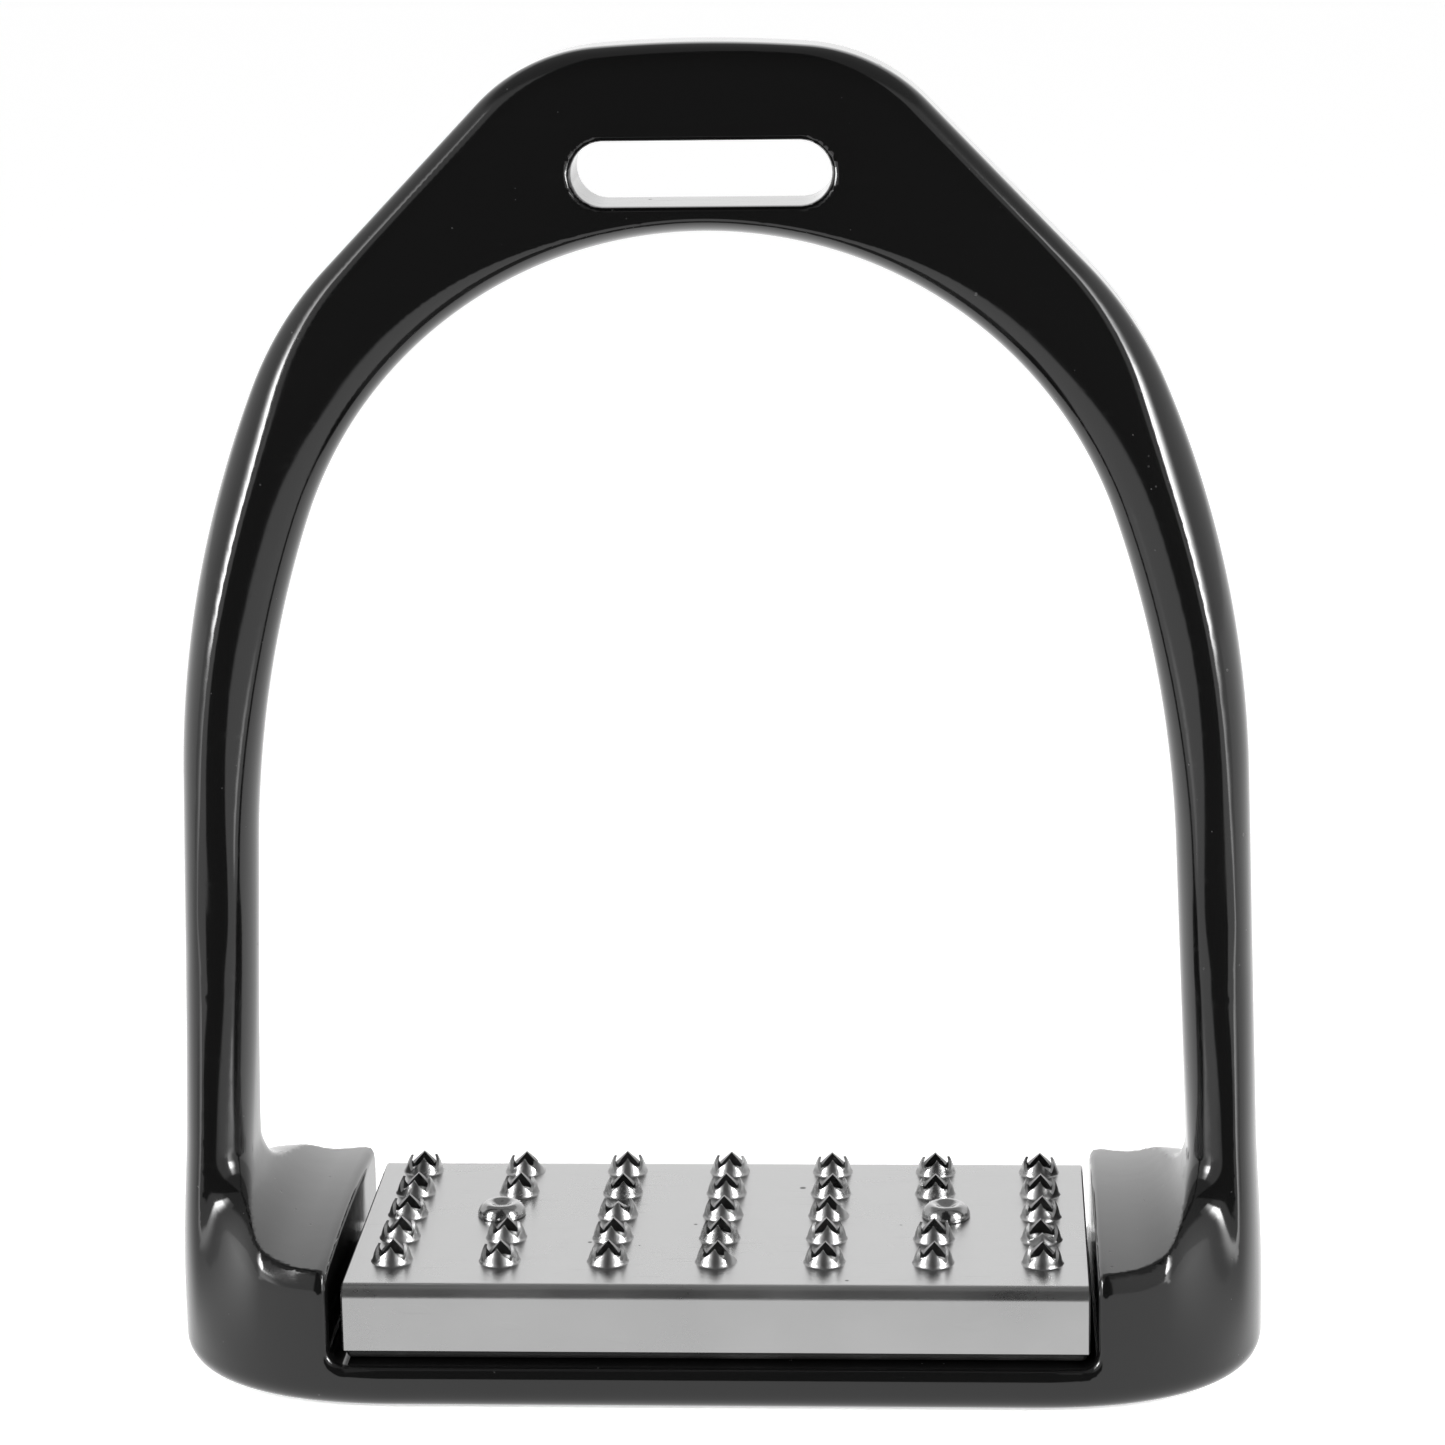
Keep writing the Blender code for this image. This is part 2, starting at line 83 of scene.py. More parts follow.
# Arch section: half depths and the widths of its elliptic edge rolls.
TOP_HALF_DEPTH, LEG_HALF_DEPTH = 6.0, 7.0
OUTER_ROLL_TOP, OUTER_ROLL_HAUNCH, OUTER_ROLL_LEG = 3.2, 6.2, 3.6
OUTER_ROLL_DEPTH_TOP = 3.4
INNER_ROLL_TOP, INNER_ROLL_HAUNCH, INNER_ROLL_LEG = 3.2, 9.3, 5.6
ROLL_BLEND = 0.6
ELLIPSE_POWER = 2.0

# The outer roll changes width between heights, the inner one between degrees round from the top.
OUTER_LEG_TO_HAUNCH, OUTER_HAUNCH_TO_TOP = (55.0, 112.0), (112.0, 146.0)
INNER_TOP_TO_HAUNCH, INNER_HAUNCH_TO_LEG = (5.0, 60.0), (84.0, 116.0)

# The inner face bulges across its depth: its curvature on the legs and on the shoulders, and the
# heights between which it changes.
LEG_KAPPA, SHOULDER_KAPPA = 0.09, 0.0045
SHOULDER_TO_LEG = (21.0, 50.0)

# The arch hands over to the body below it between these heights.
BODY_TO_ARCH = (50.0, 60.0)

# Down the body the legs grow deeper, front and back.
FLARE_TOP, FLARE_BOTTOM, FLARE_POWER = 62.0, 12.0, 1.6
FLARE_FRONT, FLARE_BACK = 5.4, 2.0

# The wall goes over from a leg's section to the footplate's plan. A pair is where that starts and
# where it is done: the sweep by height alone, and the shoulder also by the distance in from the
# iron's end. That distance is taken from the footplate's end low down, from the arch higher up.
SWEEP_FRONT, SWEEP_BACK = (28.0, 4.0), (22.0, 12.0)
SHOULDER_FRONT, SHOULDER_BACK = (29.0, 19.0), (24.0, 18.8)
SHOULDER_IN_FRONT, SHOULDER_IN_BACK = (4.0, 13.0), (2.5, 9.0)
END_TO_ARCH = (6.0, 30.0)

# Footplate.
FOOT_HALF_LENGTH = FRAME_HIGH[0]
FOOT_HALF_DEPTH = FRAME_HIGH[1]
FOOT_STRAIGHT = 40.0
FOOT_POWER = 2.25
SHOULDER_Z = 19.2
SHOULDER_LIFT = 1.4
ROLL_RADIUS = 6.0
LEG_TO_SHOULDER_ROLL = (28.0, 20.0)
BOTTOM_RADIUS = 3.0
RECESS_HALF_LENGTH = 48.3
RECESS_FLOOR = 5.6
RECESS_RADIUS = 2.0

# Rounding of the edges: along the opening, low and high, and round the recess, inside and at its mouth.
RIDGE_EDGE_LOW, RIDGE_EDGE_RISE, RIDGE_HEIGHTS = 0.35, 0.85, (19.0, 30.0)
RECESS_EDGE, LEDGE_EDGE, LEDGE_DEPTH = 1.3, 1.6, 6.0

# Leather slot.
SLOT_REACH, SLOT_RADIUS, SLOT_Z, SLOT_RIM = 12.0, 4.0, 153.0, 1.4

# Rivet holes in the footplate. Each runs on past the recess floor, so that it opens into it.
HOLE_RADIUS, COUNTERBORE_RADIUS, COUNTERBORE_DEPTH = 2.5, 4.2, 2.2
HOLE_OVERRUN = 2.0

# Contouring. Lengths here are shares of a cell, apart from the cell itself.
CELL = 0.68
MARGIN_BEFORE, MARGIN_AFTER = 1.5, 2.5
LONGEST_STEP = 0.3
CORNER_REACH, CORNER_DAMPING = 0.6, 0.05

# A cell holds a sharp edge when its normals average out shorter than this.
SHARP_BELOW = 0.955

# A normal at a sharp corner is read this share of the way to the face's middle, from a point put
# back on the surface in steps no longer than this.
INTO_FACE, INTO_FACE_STEP = 0.45, 0.1

FAR = 1e3
SLACK = 1e-6
TINY = 1e-9


# ---------------- frame field


def smooth_step(low, high, value):
    share = np.clip((value - low) / (high - low), 0.0, 1.0)
    return share * share * (3.0 - 2.0 * share)


def smooth_max(a, b, radius):
    """The larger of two fields, with the edge between them rounded."""
    overlap = np.clip(radius - np.abs(a - b), 0.0, None)
    return np.maximum(a, b) + overlap * overlap / (4.0 * radius)


def rolled_edge(wall, face, wall_width, face_width):
    """Two planes joined by a quarter ellipse: wall and face are depths inside each."""
    across = 1.0 - wall / wall_width
    along = 1.0 - face / face_width
    corner = np.hypot(np.clip(across, 0.0, None), np.clip(along, 0.0, None))
    inside = np.minimum(np.maximum(across, along), 0.0)
    return (corner + inside - 1.0) * np.minimum(wall_width, face_width)


def chain_distance(x, z, top, moves, fillet=0.0, floor=0.0):
    """Signed distance to a chain of tangent arcs and lines, positive outside its bulge.

    After the moves it runs straight on, or with a fillet it turns onto a level floor.
    """
    x = np.abs(x)
    px, pz, heading = 0.0, top, 0.0
    best = np.full(x.shape, FAR)

    def keep(distance, valid):
        closer = valid & (np.abs(distance) < np.abs(best))
        best[closer] = distance[closer]

    def arc(cx, cz, radius, start, end):
        rel_x, rel_z = x - cx, z - cz
        turn = np.arctan2(rel_x, rel_z)
        keep(np.hypot(rel_x, rel_z) - radius, (turn >= start - SLACK) & (turn <= end + SLACK))

    def line(length):
        rel_x, rel_z = x - px, z - pz
        run = rel_x * math.cos(heading) - rel_z * math.sin(heading)
        off = rel_x * math.sin(heading) + rel_z * math.cos(heading)
        keep(off, (run >= -SLACK) & (run <= length + SLACK))

    for size, turn_to in moves:
        if turn_to is None:
            line(size)
            px += size * math.cos(heading)
            pz -= size * math.sin(heading)
            continue
        end = math.radians(turn_to)
        cx, cz = px - size * math.sin(heading), pz - size * math.cos(heading)
        arc(cx, cz, size, heading, end)
        px, pz, heading = cx + size * math.sin(end), cz + size * math.cos(end), end
    if not fillet:
        line(FAR)
        return best
    drop = pz - floor - fillet * (1.0 + math.cos(heading))
    length = drop / math.sin(heading)
    line(length)
    px += length * math.cos(heading)
    pz -= length * math.sin(heading)
    cx, cz = px - fillet * math.sin(heading), pz - fillet * math.cos(heading)
    arc(cx, cz, fillet, heading, math.pi)
    keep(floor - z, x <= cx)
    return best


def arch_half_depth(z):
    return LEG_HALF_DEPTH + (TOP_HALF_DEPTH - LEG_HALF_DEPTH) * smooth_step(BOW_CENTRE, OUTER_TOP, z)


def arch_field(x, y, z, inside, outside):
    """The arch between its two outlines, with an elliptic roll along each."""
    half = arch_half_depth(z)
    face = half - np.abs(y)
    crown = smooth_step(*OUTER_HAUNCH_TO_TOP, z)
    haunch = smooth_step(*OUTER_LEG_TO_HAUNCH, z)
    outer_width = OUTER_ROLL_LEG + (OUTER_ROLL_HAUNCH - OUTER_ROLL_LEG) * haunch
    outer_width = outer_width + (OUTER_ROLL_TOP - outer_width) * crown
    outer_depth = LEG_HALF_DEPTH + (OUTER_ROLL_DEPTH_TOP - LEG_HALF_DEPTH) * crown
    around = np.degrees(np.arctan2(np.abs(x), z - BOW_CENTRE))
    haunch = smooth_step(*INNER_TOP_TO_HAUNCH, around)
    leg = smooth_step(*INNER_HAUNCH_TO_LEG, around)
    inner_width = INNER_ROLL_TOP + (INNER_ROLL_HAUNCH - INNER_ROLL_TOP) * haunch
    inner_width = inner_width + (INNER_ROLL_LEG - INNER_ROLL_HAUNCH) * leg
    outer = rolled_edge(-outside, face, outer_width, outer_depth)
    inner = rolled_edge(inside, face, inner_width, half)
    return smooth_max(outer, inner, ROLL_BLEND)


def wall_inset(away, depth, half, length, power):
    """Distance in from an upright wall whose plan is a straight-sided superellipse end."""
    u = np.clip(1.0 - away / length, 0.0, None)
    v = np.clip(depth, SLACK, None) / half
    rho = np.power(np.power(u, power) + np.power(v, power), 1.0 / power)
    slope = np.power(np.clip(rho, SLACK, None), 1.0 - power)
    steep = np.hypot(np.power(u, power - 1.0) / length, np.power(v, power - 1.0) / half)
    return (1.0 - rho) / np.clip(slope * steep, SLACK, None)


def front_or_back(y, value, front, back):
    """A smooth ramp over value with its own ends at the front and at the back."""
    return np.where(y < 0.0, smooth_step(*front, value), smooth_step(*back, value))


def body_wall(x, y, z, outside):
    """Distance in from the upright wall, which goes from the leg's section to the footplate's plan."""
    foot_end = FOOT_HALF_LENGTH - np.abs(x)
    away = foot_end + (-outside - foot_end) * smooth_step(*END_TO_ARCH, z)
    depth = np.abs(y)
    flare = np.where(y < 0.0, FLARE_FRONT, FLARE_BACK)
    half = LEG_HALF_DEPTH + flare * np.power(smooth_step(FLARE_TOP, FLARE_BOTTOM, z), FLARE_POWER)
    leg = wall_inset(away, depth, half, OUTER_ROLL_LEG, ELLIPSE_POWER)
    foot = wall_inset(away, depth, FOOT_HALF_DEPTH, FOOT_HALF_LENGTH - FOOT_STRAIGHT, FOOT_POWER)
    sweep = front_or_back(y, z, SWEEP_FRONT, SWEEP_BACK)
    shoulder = front_or_back(y, away, SHOULDER_IN_FRONT, SHOULDER_IN_BACK)
    shoulder = shoulder * front_or_back(y, z, SHOULDER_FRONT, SHOULDER_BACK)
    return leg + (foot - leg) * (sweep + (1.0 - sweep) * shoulder)


def body_field(x, y, z, opening, outside):
    """The footplate and the lower legs in one: the wall, rolled over onto the opening and the base."""
    inset = body_wall(x, y, z, outside)
    low = smooth_step(*LEG_TO_SHOULDER_ROLL, z)
    across = INNER_ROLL_LEG + (ROLL_RADIUS - INNER_ROLL_LEG) * low
    along = LEG_HALF_DEPTH + (ROLL_RADIUS - LEG_HALF_DEPTH) * low
    upper = rolled_edge(opening + SHOULDER_LIFT * low, inset, across, along)
    lower = rolled_edge(inset, z, BOTTOM_RADIUS, BOTTOM_RADIUS)
    return np.maximum(upper, lower)


def opening_field(y, z, inside):
    """The inner face and the shoulders: one surface that crowns from front to back."""
    kappa = SHOULDER_KAPPA + (LEG_KAPPA - SHOULDER_KAPPA) * smooth_step(*SHOULDER_TO_LEG, z)
    return 0.5 * kappa * y * y - inside


def recess_field(x, z):
    """The channel that the tread lies in: open at the front, the back and the top."""
    qx = np.abs(x) - (RECESS_HALF_LENGTH - RECESS_RADIUS)
    qz = RECESS_FLOOR + RECESS_RADIUS - z
    outside = np.hypot(np.clip(qx, 0.0, None), np.clip(qz, 0.0, None))
    channel = outside + np.minimum(np.maximum(qx, qz), 0.0) - RECESS_RADIUS
    return np.where(z < BOW_CENTRE, -channel, -FAR)


def slot_field(x, y, z):
    """The leather slot, with rolled rims."""
    away = np.hypot(np.clip(np.abs(x) - SLOT_REACH, 0.0, None), z - SLOT_Z) - SLOT_RADIUS
    cut = rolled_edge(away, arch_half_depth(z) - np.abs(y), SLOT_RIM, SLOT_RIM)
    return np.where(z > BOW_CENTRE, cut, -FAR)


def hole_field(x, y, z, low, high):
    """The stepped hole under the rivet that stands in this box."""
    centre_x, centre_y = plan_centre(low, high)
    radius = np.hypot(x - centre_x, y - centre_y)
    hole = np.minimum(HOLE_RADIUS - radius, RECESS_FLOOR + HOLE_OVERRUN - z)
    bore = np.minimum(COUNTERBORE_RADIUS - radius, COUNTERBORE_DEPTH - z)
    return np.maximum(hole, bore)


def frame_field(x, y, z):
    """Negative inside the frame, positive outside, roughly in millimetres."""
    inside = chain_distance(x, z, INNER_TOP, INNER_CHAIN)
    opening = chain_distance(x, z, INNER_TOP, INNER_CHAIN, FOOT_FILLET, SHOULDER_Z)
    outside = chain_distance(x, z, OUTER_TOP, OUTER_CHAIN)
    arch = arch_field(x, y, z, inside, outside)
    body = body_field(x, y, z, opening, outside)
    field = body + (arch - body) * smooth_step(*BODY_TO_ARCH, z)
    ridge = RIDGE_EDGE_LOW + RIDGE_EDGE_RISE * smooth_step(*RIDGE_HEIGHTS, z)
    field = smooth_max(field, opening_field(y, z, opening), ridge)
    field = np.maximum(field, -z)
    mouth = smooth_step(FOOT_HALF_DEPTH - LEDGE_DEPTH, FOOT_HALF_DEPTH, np.abs(y))
    field = smooth_max(field, recess_field(x, z), RECESS_EDGE + (LEDGE_EDGE - RECESS_EDGE) * mouth)
    field = np.maximum(field, slot_field(x, y, z))
    for low, high in RIVET_BOXES.values():
        field = np.maximum(field, hole_field(x, y, z, low, high))
    return field


def gradient(field, points, step=0.02):
    """Central differences of the field at each point."""
    result = np.empty_like(points)
    for axis in range(3):
        ahead, behind = points.copy(), points.copy()
        ahead[:, axis] += step
        behind[:, axis] -= step
        result[:, axis] = (field(*ahead.T) - field(*behind.T)) / (2.0 * step)
    return result


def unit_rows(vectors):
    return vectors / np.clip(np.linalg.norm(vectors, axis=1, keepdims=True), TINY, None)


def onto_surface(field, points, rounds, most):
    """Newton steps along the gradient, none longer than most."""
    for _ in range(rounds):
        slope = gradient(field, points)
        size = np.clip((slope * slope).sum(1), SLACK, None)
        step = (field(*points.T) / size)[:, None] * slope
        length = np.linalg.norm(step, axis=1, keepdims=True)
        points = points - step * np.minimum(1.0, most / np.clip(length, TINY, None))
    return points


# ---------------- contouring


def sample_grid(field, low, counts, cell):
    """The field on a grid, worked out a few layers at a time to save memory."""
    values = np.empty(counts, np.float32)
    ys = low[1] + cell * np.arange(counts[1])
    zs = low[2] + cell * np.arange(counts[2])
    slab = 24
    for start in range(0, counts[0], slab):
        stop = min(start + slab, counts[0])
        xs = low[0] + cell * np.arange(start, stop)
        grid = np.meshgrid(xs, ys, zs, indexing="ij")
        flat = [axis.ravel() for axis in grid]
        values[start:stop] = field(*flat).reshape(stop - start, counts[1], counts[2])
    return values


def crossing_edges(values, low, cell):
    """Each grid edge that the surface crosses: its axis, cell index, point and direction."""
    found = []
    for axis in range(3):
        first = np.take(values, range(values.shape[axis] - 1), axis)
        second = np.take(values, range(1, values.shape[axis]), axis)
        index = np.argwhere((first < 0) != (second < 0))
        a, b = first[tuple(index.T)], second[tuple(index.T)]
        points = low + cell * index.astype(float)
        points[:, axis] += cell * a / (a - b)
        found.append((axis, index, points, a < 0))
    return found


def solve_cells(cells, points, normals, cell):
    """One vertex for each crossed cell: (cell names, vertices, sharp flags).

    It is the average crossing, or in a sharp cell the point nearest to all the tangent planes.
    """
    names, owner = np.unique(cells, return_inverse=True)
    total = len(names)
    weight = np.bincount(owner, minlength=total)

    def summed(values):
        return np.stack([np.bincount(owner, column, total) for column in values.T], 1)

    centre = summed(points) / weight[:, None]
    mean_normal = summed(normals) / weight[:, None]
    sharp = np.linalg.norm(mean_normal, axis=1) < SHARP_BELOW
    outer = normals[:, :, None] * normals[:, None, :]
    matrix = summed(outer.reshape(-1, 9)).reshape(-1, 3, 3) + CORNER_DAMPING * np.eye(3)
    offset = ((points - centre[owner]) * normals).sum(1)
    rhs = summed(normals * offset[:, None])
    shift = np.linalg.solve(matrix, rhs[:, :, None])[:, :, 0]
    shift = np.clip(shift, -CORNER_REACH * cell, CORNER_REACH * cell)
    return names, np.where(sharp[:, None], centre + shift, centre), sharp


def contour(field, low, high, cell):
    """Dual contouring: (vertices, quads, sharp flags) of the field's zero surface."""
    low = np.array(low) - MARGIN_BEFORE * cell
    counts = tuple(int(n) for n in np.ceil((np.array(high) - low) / cell + MARGIN_AFTER))
    values = sample_grid(field, low, counts, cell)
    strides = np.array((counts[1] * counts[2], counts[2], 1))
    cells, crossings, quads = [], [], []
    for axis, index, points, inside_first in crossing_edges(values, low, cell):
        across, up = (axis + 1) % 3, (axis + 2) % 3
        base = index @ strides
        ring = [base - strides[across] - strides[up], base - strides[up], base, base - strides[across]]
        quad = np.stack(ring, 1)
        quads.append(np.where(inside_first[:, None], quad, quad[:, ::-1]))
        crossings.append(np.repeat(points, 4, 0))
        cells.append(quad.ravel())
    points, which = np.unique(np.concatenate(crossings), axis=0, return_inverse=True)
    which = which.reshape(-1)
    points = onto_surface(field, points, 2, LONGEST_STEP * cell)
    normals = unit_rows(gradient(field, points))
    names, placed, sharp = solve_cells(np.concatenate(cells), points[which], normals[which], cell)
    placed[~sharp] = onto_surface(field, placed[~sharp], 3, LONGEST_STEP * cell)
    return placed, np.searchsorted(names, np.concatenate(quads)), sharp


def corner_normals(field, vertices, quads, sharp):
    """Field normals at each face corner, taken a little inside the face at a sharp vertex."""
    corners = vertices[quads]
    towards = corners.mean(1)[:, None, :] - corners
    keen = sharp[quads]
    normals = unit_rows(gradient(field, vertices))[quads]
    moved = onto_surface(field, (corners + INTO_FACE * towards)[keen], 2, INTO_FACE_STEP)
    normals[keen] = unit_rows(gradient(field, moved))
    return normals


def link_object(name, mesh):
    obj = bpy.data.objects.new(name, mesh)
    bpy.context.scene.collection.objects.link(obj)
    return obj


def build_frame():
    vertices, quads, sharp = contour(frame_field, FRAME_LOW, FRAME_HIGH, CELL)
    normals = corner_normals(frame_field, vertices, quads, sharp)
    mesh = bpy.data.meshes.new("coated_frame")
    mesh.from_pydata((vertices * MM).tolist(), [], quads.tolist())
    mesh.shade_smooth()
    mesh.normals_split_custom_set(normals.reshape(-1, 3).tolist())
    mesh.update()
    return link_object("coated_frame", mesh)


# ---------------- tread plate

SHEET = 1.0
BEND_RADIUS = 1.7
BEND_STEPS = 10
EDGE_BEVEL = 0.22
FLANGE_EDGE = 0.15
TREAD_SHARP_ANGLE, SHARP_ANGLE = 42, 50
CELL_STEPS = 12
TOOTH_SIDES = 4 * CELL_STEPS

# A tooth: a barrel that tapers upwards from a flared foot, with its wall thinning to the petals' tips.
TOOTH_HEIGHT = 2.4
TOOTH_BASE = 2.76
TOOTH_FLARE, FLARE_HEIGHT = 0.24, 0.18
TOOTH_TAPER, TAPER_POWER = 0.85, 1.8
TOOTH_HOLE = 1.55
TOOTH_WALL, WALL_THINNING = 0.46, 0.62
TOOTH_INSET = 0.12
LEAST_INNER_RADIUS = 0.6
LIP_DROP = 0.05
PUNCH_DEPTH = 0.55
NOTCH_HEIGHT, PETAL_POWER = 0.62, 0.9
BENT_HEIGHT, BENT_FOLD = 0.62, 0.75
OUTER_SHARES = (0.0, 0.03, 0.08, 0.15, 0.26, 0.4, 0.55, 0.7, 0.83, 0.93, 1.0)
INNER_SHARES = (1.0, 0.9, 0.72, 0.5, 0.28, 0.08)
MOST_SPIN, MOST_LEAN, LEAST_STRETCH = 0.09, 0.12, 0.93

TOOTH_PITCH_X, TOOTH_PITCH_Y = 13.78, 8.6
GRID_SHIFT_X, GRID_SHIFT_Y = -0.2, 2.5
TOOTH_COLUMNS, TOOTH_ROWS = 7, 5
RIVET_COLUMN = 2
RIVET_HOLE = 2.5

# Teeth that the press left bent: (column, row) from the front left, and the petal that folded in.
BENT_TEETH = {(3, 0): 0, (6, 1): 3, (2, 2): 1, (1, 4): 0, (4, 2): 0}

PLATE_TOP = PLATE_HIGH[2] - TOOTH_HEIGHT
PLATE_CENTRE_X, _ = plan_centre(PLATE_LOW, PLATE_HIGH)


def new_object(name, bm):
    """Turns a bmesh in millimetres into a linked, smooth-shaded object in metres."""
    bmesh.ops.recalc_face_normals(bm, faces=bm.faces)
    for vert in bm.verts:
        vert.co *= MM
    mesh = bpy.data.meshes.new(name)
    bm.to_mesh(mesh)
    bm.free()
    mesh.shade_smooth()
    return link_object(name, mesh)


def add_loop(bm, points):
    return [bm.verts.new(point) for point in points]


def bridge(bm, loops):
    """Quads from each loop to the next. All of them are equally long."""
    for low, high in zip(loops, loops[1:]):
        for i in range(len(low)):
            j = (i + 1) % len(low)
            bm.faces.new((low[i], low[j], high[j], high[i]))


def hole_points(x, y, z):
    turns = [math.tau * i / TOOTH_SIDES for i in range(TOOTH_SIDES)]
    return [Vector((x + RIVET_HOLE * math.cos(t), y + RIVET_HOLE * math.sin(t), z)) for t in turns]


def smooth_sharp_edges(obj, degrees):
    """Smooth shading that keeps flats flat: edges over the angle stay sharp, big faces lead."""
    obj.data.set_sharp_from_angle(angle=math.radians(degrees))
    modifier = obj.modifiers.new("weighted normals", "WEIGHTED_NORMAL")
    modifier.mode = "FACE_AREA"
    modifier.weight = 80
    modifier.keep_sharp = True
    return obj


def cell_marks(low, high, first, pitch, count):
    """Borders half way between teeth, with each cell between them cut into equal steps."""
    borders = [low] + [first + (i + 0.5) * pitch for i in range(count - 1)] + [high]
    marks = []
    for start, end in zip(borders, borders[1:]):
        marks += [start + (end - start) * step / CELL_STEPS for step in range(CELL_STEPS)]
    return marks + [high]


def channel_profile(thickness, lift, marks):
    """The folded sheet's section, outside then inside. Marks are the points on its flat."""
    centre_y = PLATE_HIGH[1] - BEND_RADIUS
    centre_z = PLATE_TOP - BEND_RADIUS
    sides = []
    for sign in (1, -1):
        radius = BEND_RADIUS - SHEET / 2 + sign * thickness / 2
        foot = PLATE_LOW[2] + lift
        points = [(centre_y + radius - FLANGE_EDGE * (sign > 0), foot)]
        points.append((centre_y + radius, foot + FLANGE_EDGE))
        points.append((centre_y + radius, (foot + centre_z) / 2))
        for step in range(BEND_STEPS):
            turn = math.pi / 2 * step / BEND_STEPS
            points.append((centre_y + radius * math.cos(turn), centre_z + radius * math.sin(turn)))
        flat = [(y, centre_z + radius) for y in reversed(marks)]
        sides.append(points + flat + [(-y, z) for y, z in reversed(points)])
    return sides[0], sides[1]


def petal_height(turn, bent):
    """(lip height, petal number) round a tooth: four pointed petals with notches between them."""
    petal = round(turn / (math.pi / 2)) % 4
    away = abs((turn + math.pi / 4) % (math.pi / 2) - math.pi / 4)
    share = 1.0 - math.sin(away) / math.sin(math.pi / 4)
    tallest = TOOTH_HEIGHT * (BENT_HEIGHT if petal == bent else 1.0)
    return NOTCH_HEIGHT + (tallest - NOTCH_HEIGHT) * share ** PETAL_POWER, petal


def tooth_radius(z):
    """Outside radius of a tooth at a height over the plate: a flared foot, then a barrel."""
    rise = max(z, 0.0) / TOOTH_HEIGHT
    flare = TOOTH_FLARE * (1.0 - math.exp(-z / FLARE_HEIGHT))
    return TOOTH_BASE - TOOTH_TAPER * rise ** TAPER_POWER - flare


def tooth_loops(x, y, bent, rng):
    """Loops of points from the foot, up the outside, over the lip and down the inside."""
    spin = rng.uniform(-MOST_SPIN, MOST_SPIN)
    lean = Vector((rng.uniform(-MOST_LEAN, MOST_LEAN), rng.uniform(-MOST_LEAN, MOST_LEAN), 0.0))
    stretch = rng.uniform(LEAST_STRETCH, 1.0)
    base = Vector((x, y, PLATE_TOP))
    columns = []
    for i in range(TOOTH_SIDES):
        turn = math.tau * i / TOOTH_SIDES
        height, petal = petal_height(turn % math.tau, bent)
        height *= stretch
        fold = BENT_FOLD if petal == bent else 0.0
        spoke = Vector((math.cos(turn + spin), math.sin(turn + spin), 0.0))
        column = []
        for share in OUTER_SHARES:
            z = height * share
            radius = tooth_radius(z) - fold * share ** 2
            column.append(base + spoke * radius + lean * (z / TOOTH_HEIGHT) + Vector((0.0, 0.0, z)))
        for share in INNER_SHARES:
            z = height * share
            wall = TOOTH_WALL * (1.0 - WALL_THINNING * z / TOOTH_HEIGHT)
            radius = tooth_radius(z) - TOOTH_INSET - wall - fold * share ** 2
            drop = LIP_DROP * (share == 1.0)
            place = base + spoke * max(radius, LEAST_INNER_RADIUS) + lean * (z / TOOTH_HEIGHT)
            column.append(place + Vector((0.0, 0.0, z - drop)))
        for depth in (PUNCH_DEPTH * SHEET, SHEET):
            column.append(base + spoke * TOOTH_HOLE - Vector((0.0, 0.0, depth)))
        columns.append(column)
    return [[column[level] for column in columns] for level in range(len(columns[0]))]


def first_tooth():
    x = PLATE_CENTRE_X + GRID_SHIFT_X - (TOOTH_COLUMNS - 1) / 2 * TOOTH_PITCH_X
    return x, GRID_SHIFT_Y - (TOOTH_ROWS - 1) / 2 * TOOTH_PITCH_Y


def cell_border(column, row):
    """(station, mark) round a cell, anticlockwise from the middle of its right side."""
    left, right = column * CELL_STEPS, (column + 1) * CELL_STEPS
    front, back = row * CELL_STEPS, (row + 1) * CELL_STEPS
    steps = range(CELL_STEPS)
    border = [(right, front + k) for k in steps] + [(right - k, back) for k in steps]
    border += [(left, back - k) for k in steps] + [(left + k, front) for k in steps]
    half = CELL_STEPS // 2
    return border[half:] + border[:half]


def tooth_or_rivet_loops(bm, column, row, rng):
    """Loops from the top of the sheet to its underside: a tooth, or a plain rivet hole."""
    first_x, first_y = first_tooth()
    x, y = first_x + column * TOOTH_PITCH_X, first_y + row * TOOTH_PITCH_Y
    across = column - (TOOTH_COLUMNS - 1) // 2
    if abs(across) == RIVET_COLUMN and row == TOOTH_ROWS // 2:
        low, high = RIVET_BOXES["rivet_left" if across < 0 else "rivet_right"]
        x, y = plan_centre(low, high)
        return [add_loop(bm, hole_points(x, y, z)) for z in (PLATE_TOP, PLATE_TOP - SHEET)]
    bent = BENT_TEETH.get((column, row))
    return [add_loop(bm, points) for points in tooth_loops(x, y, bent, rng)]


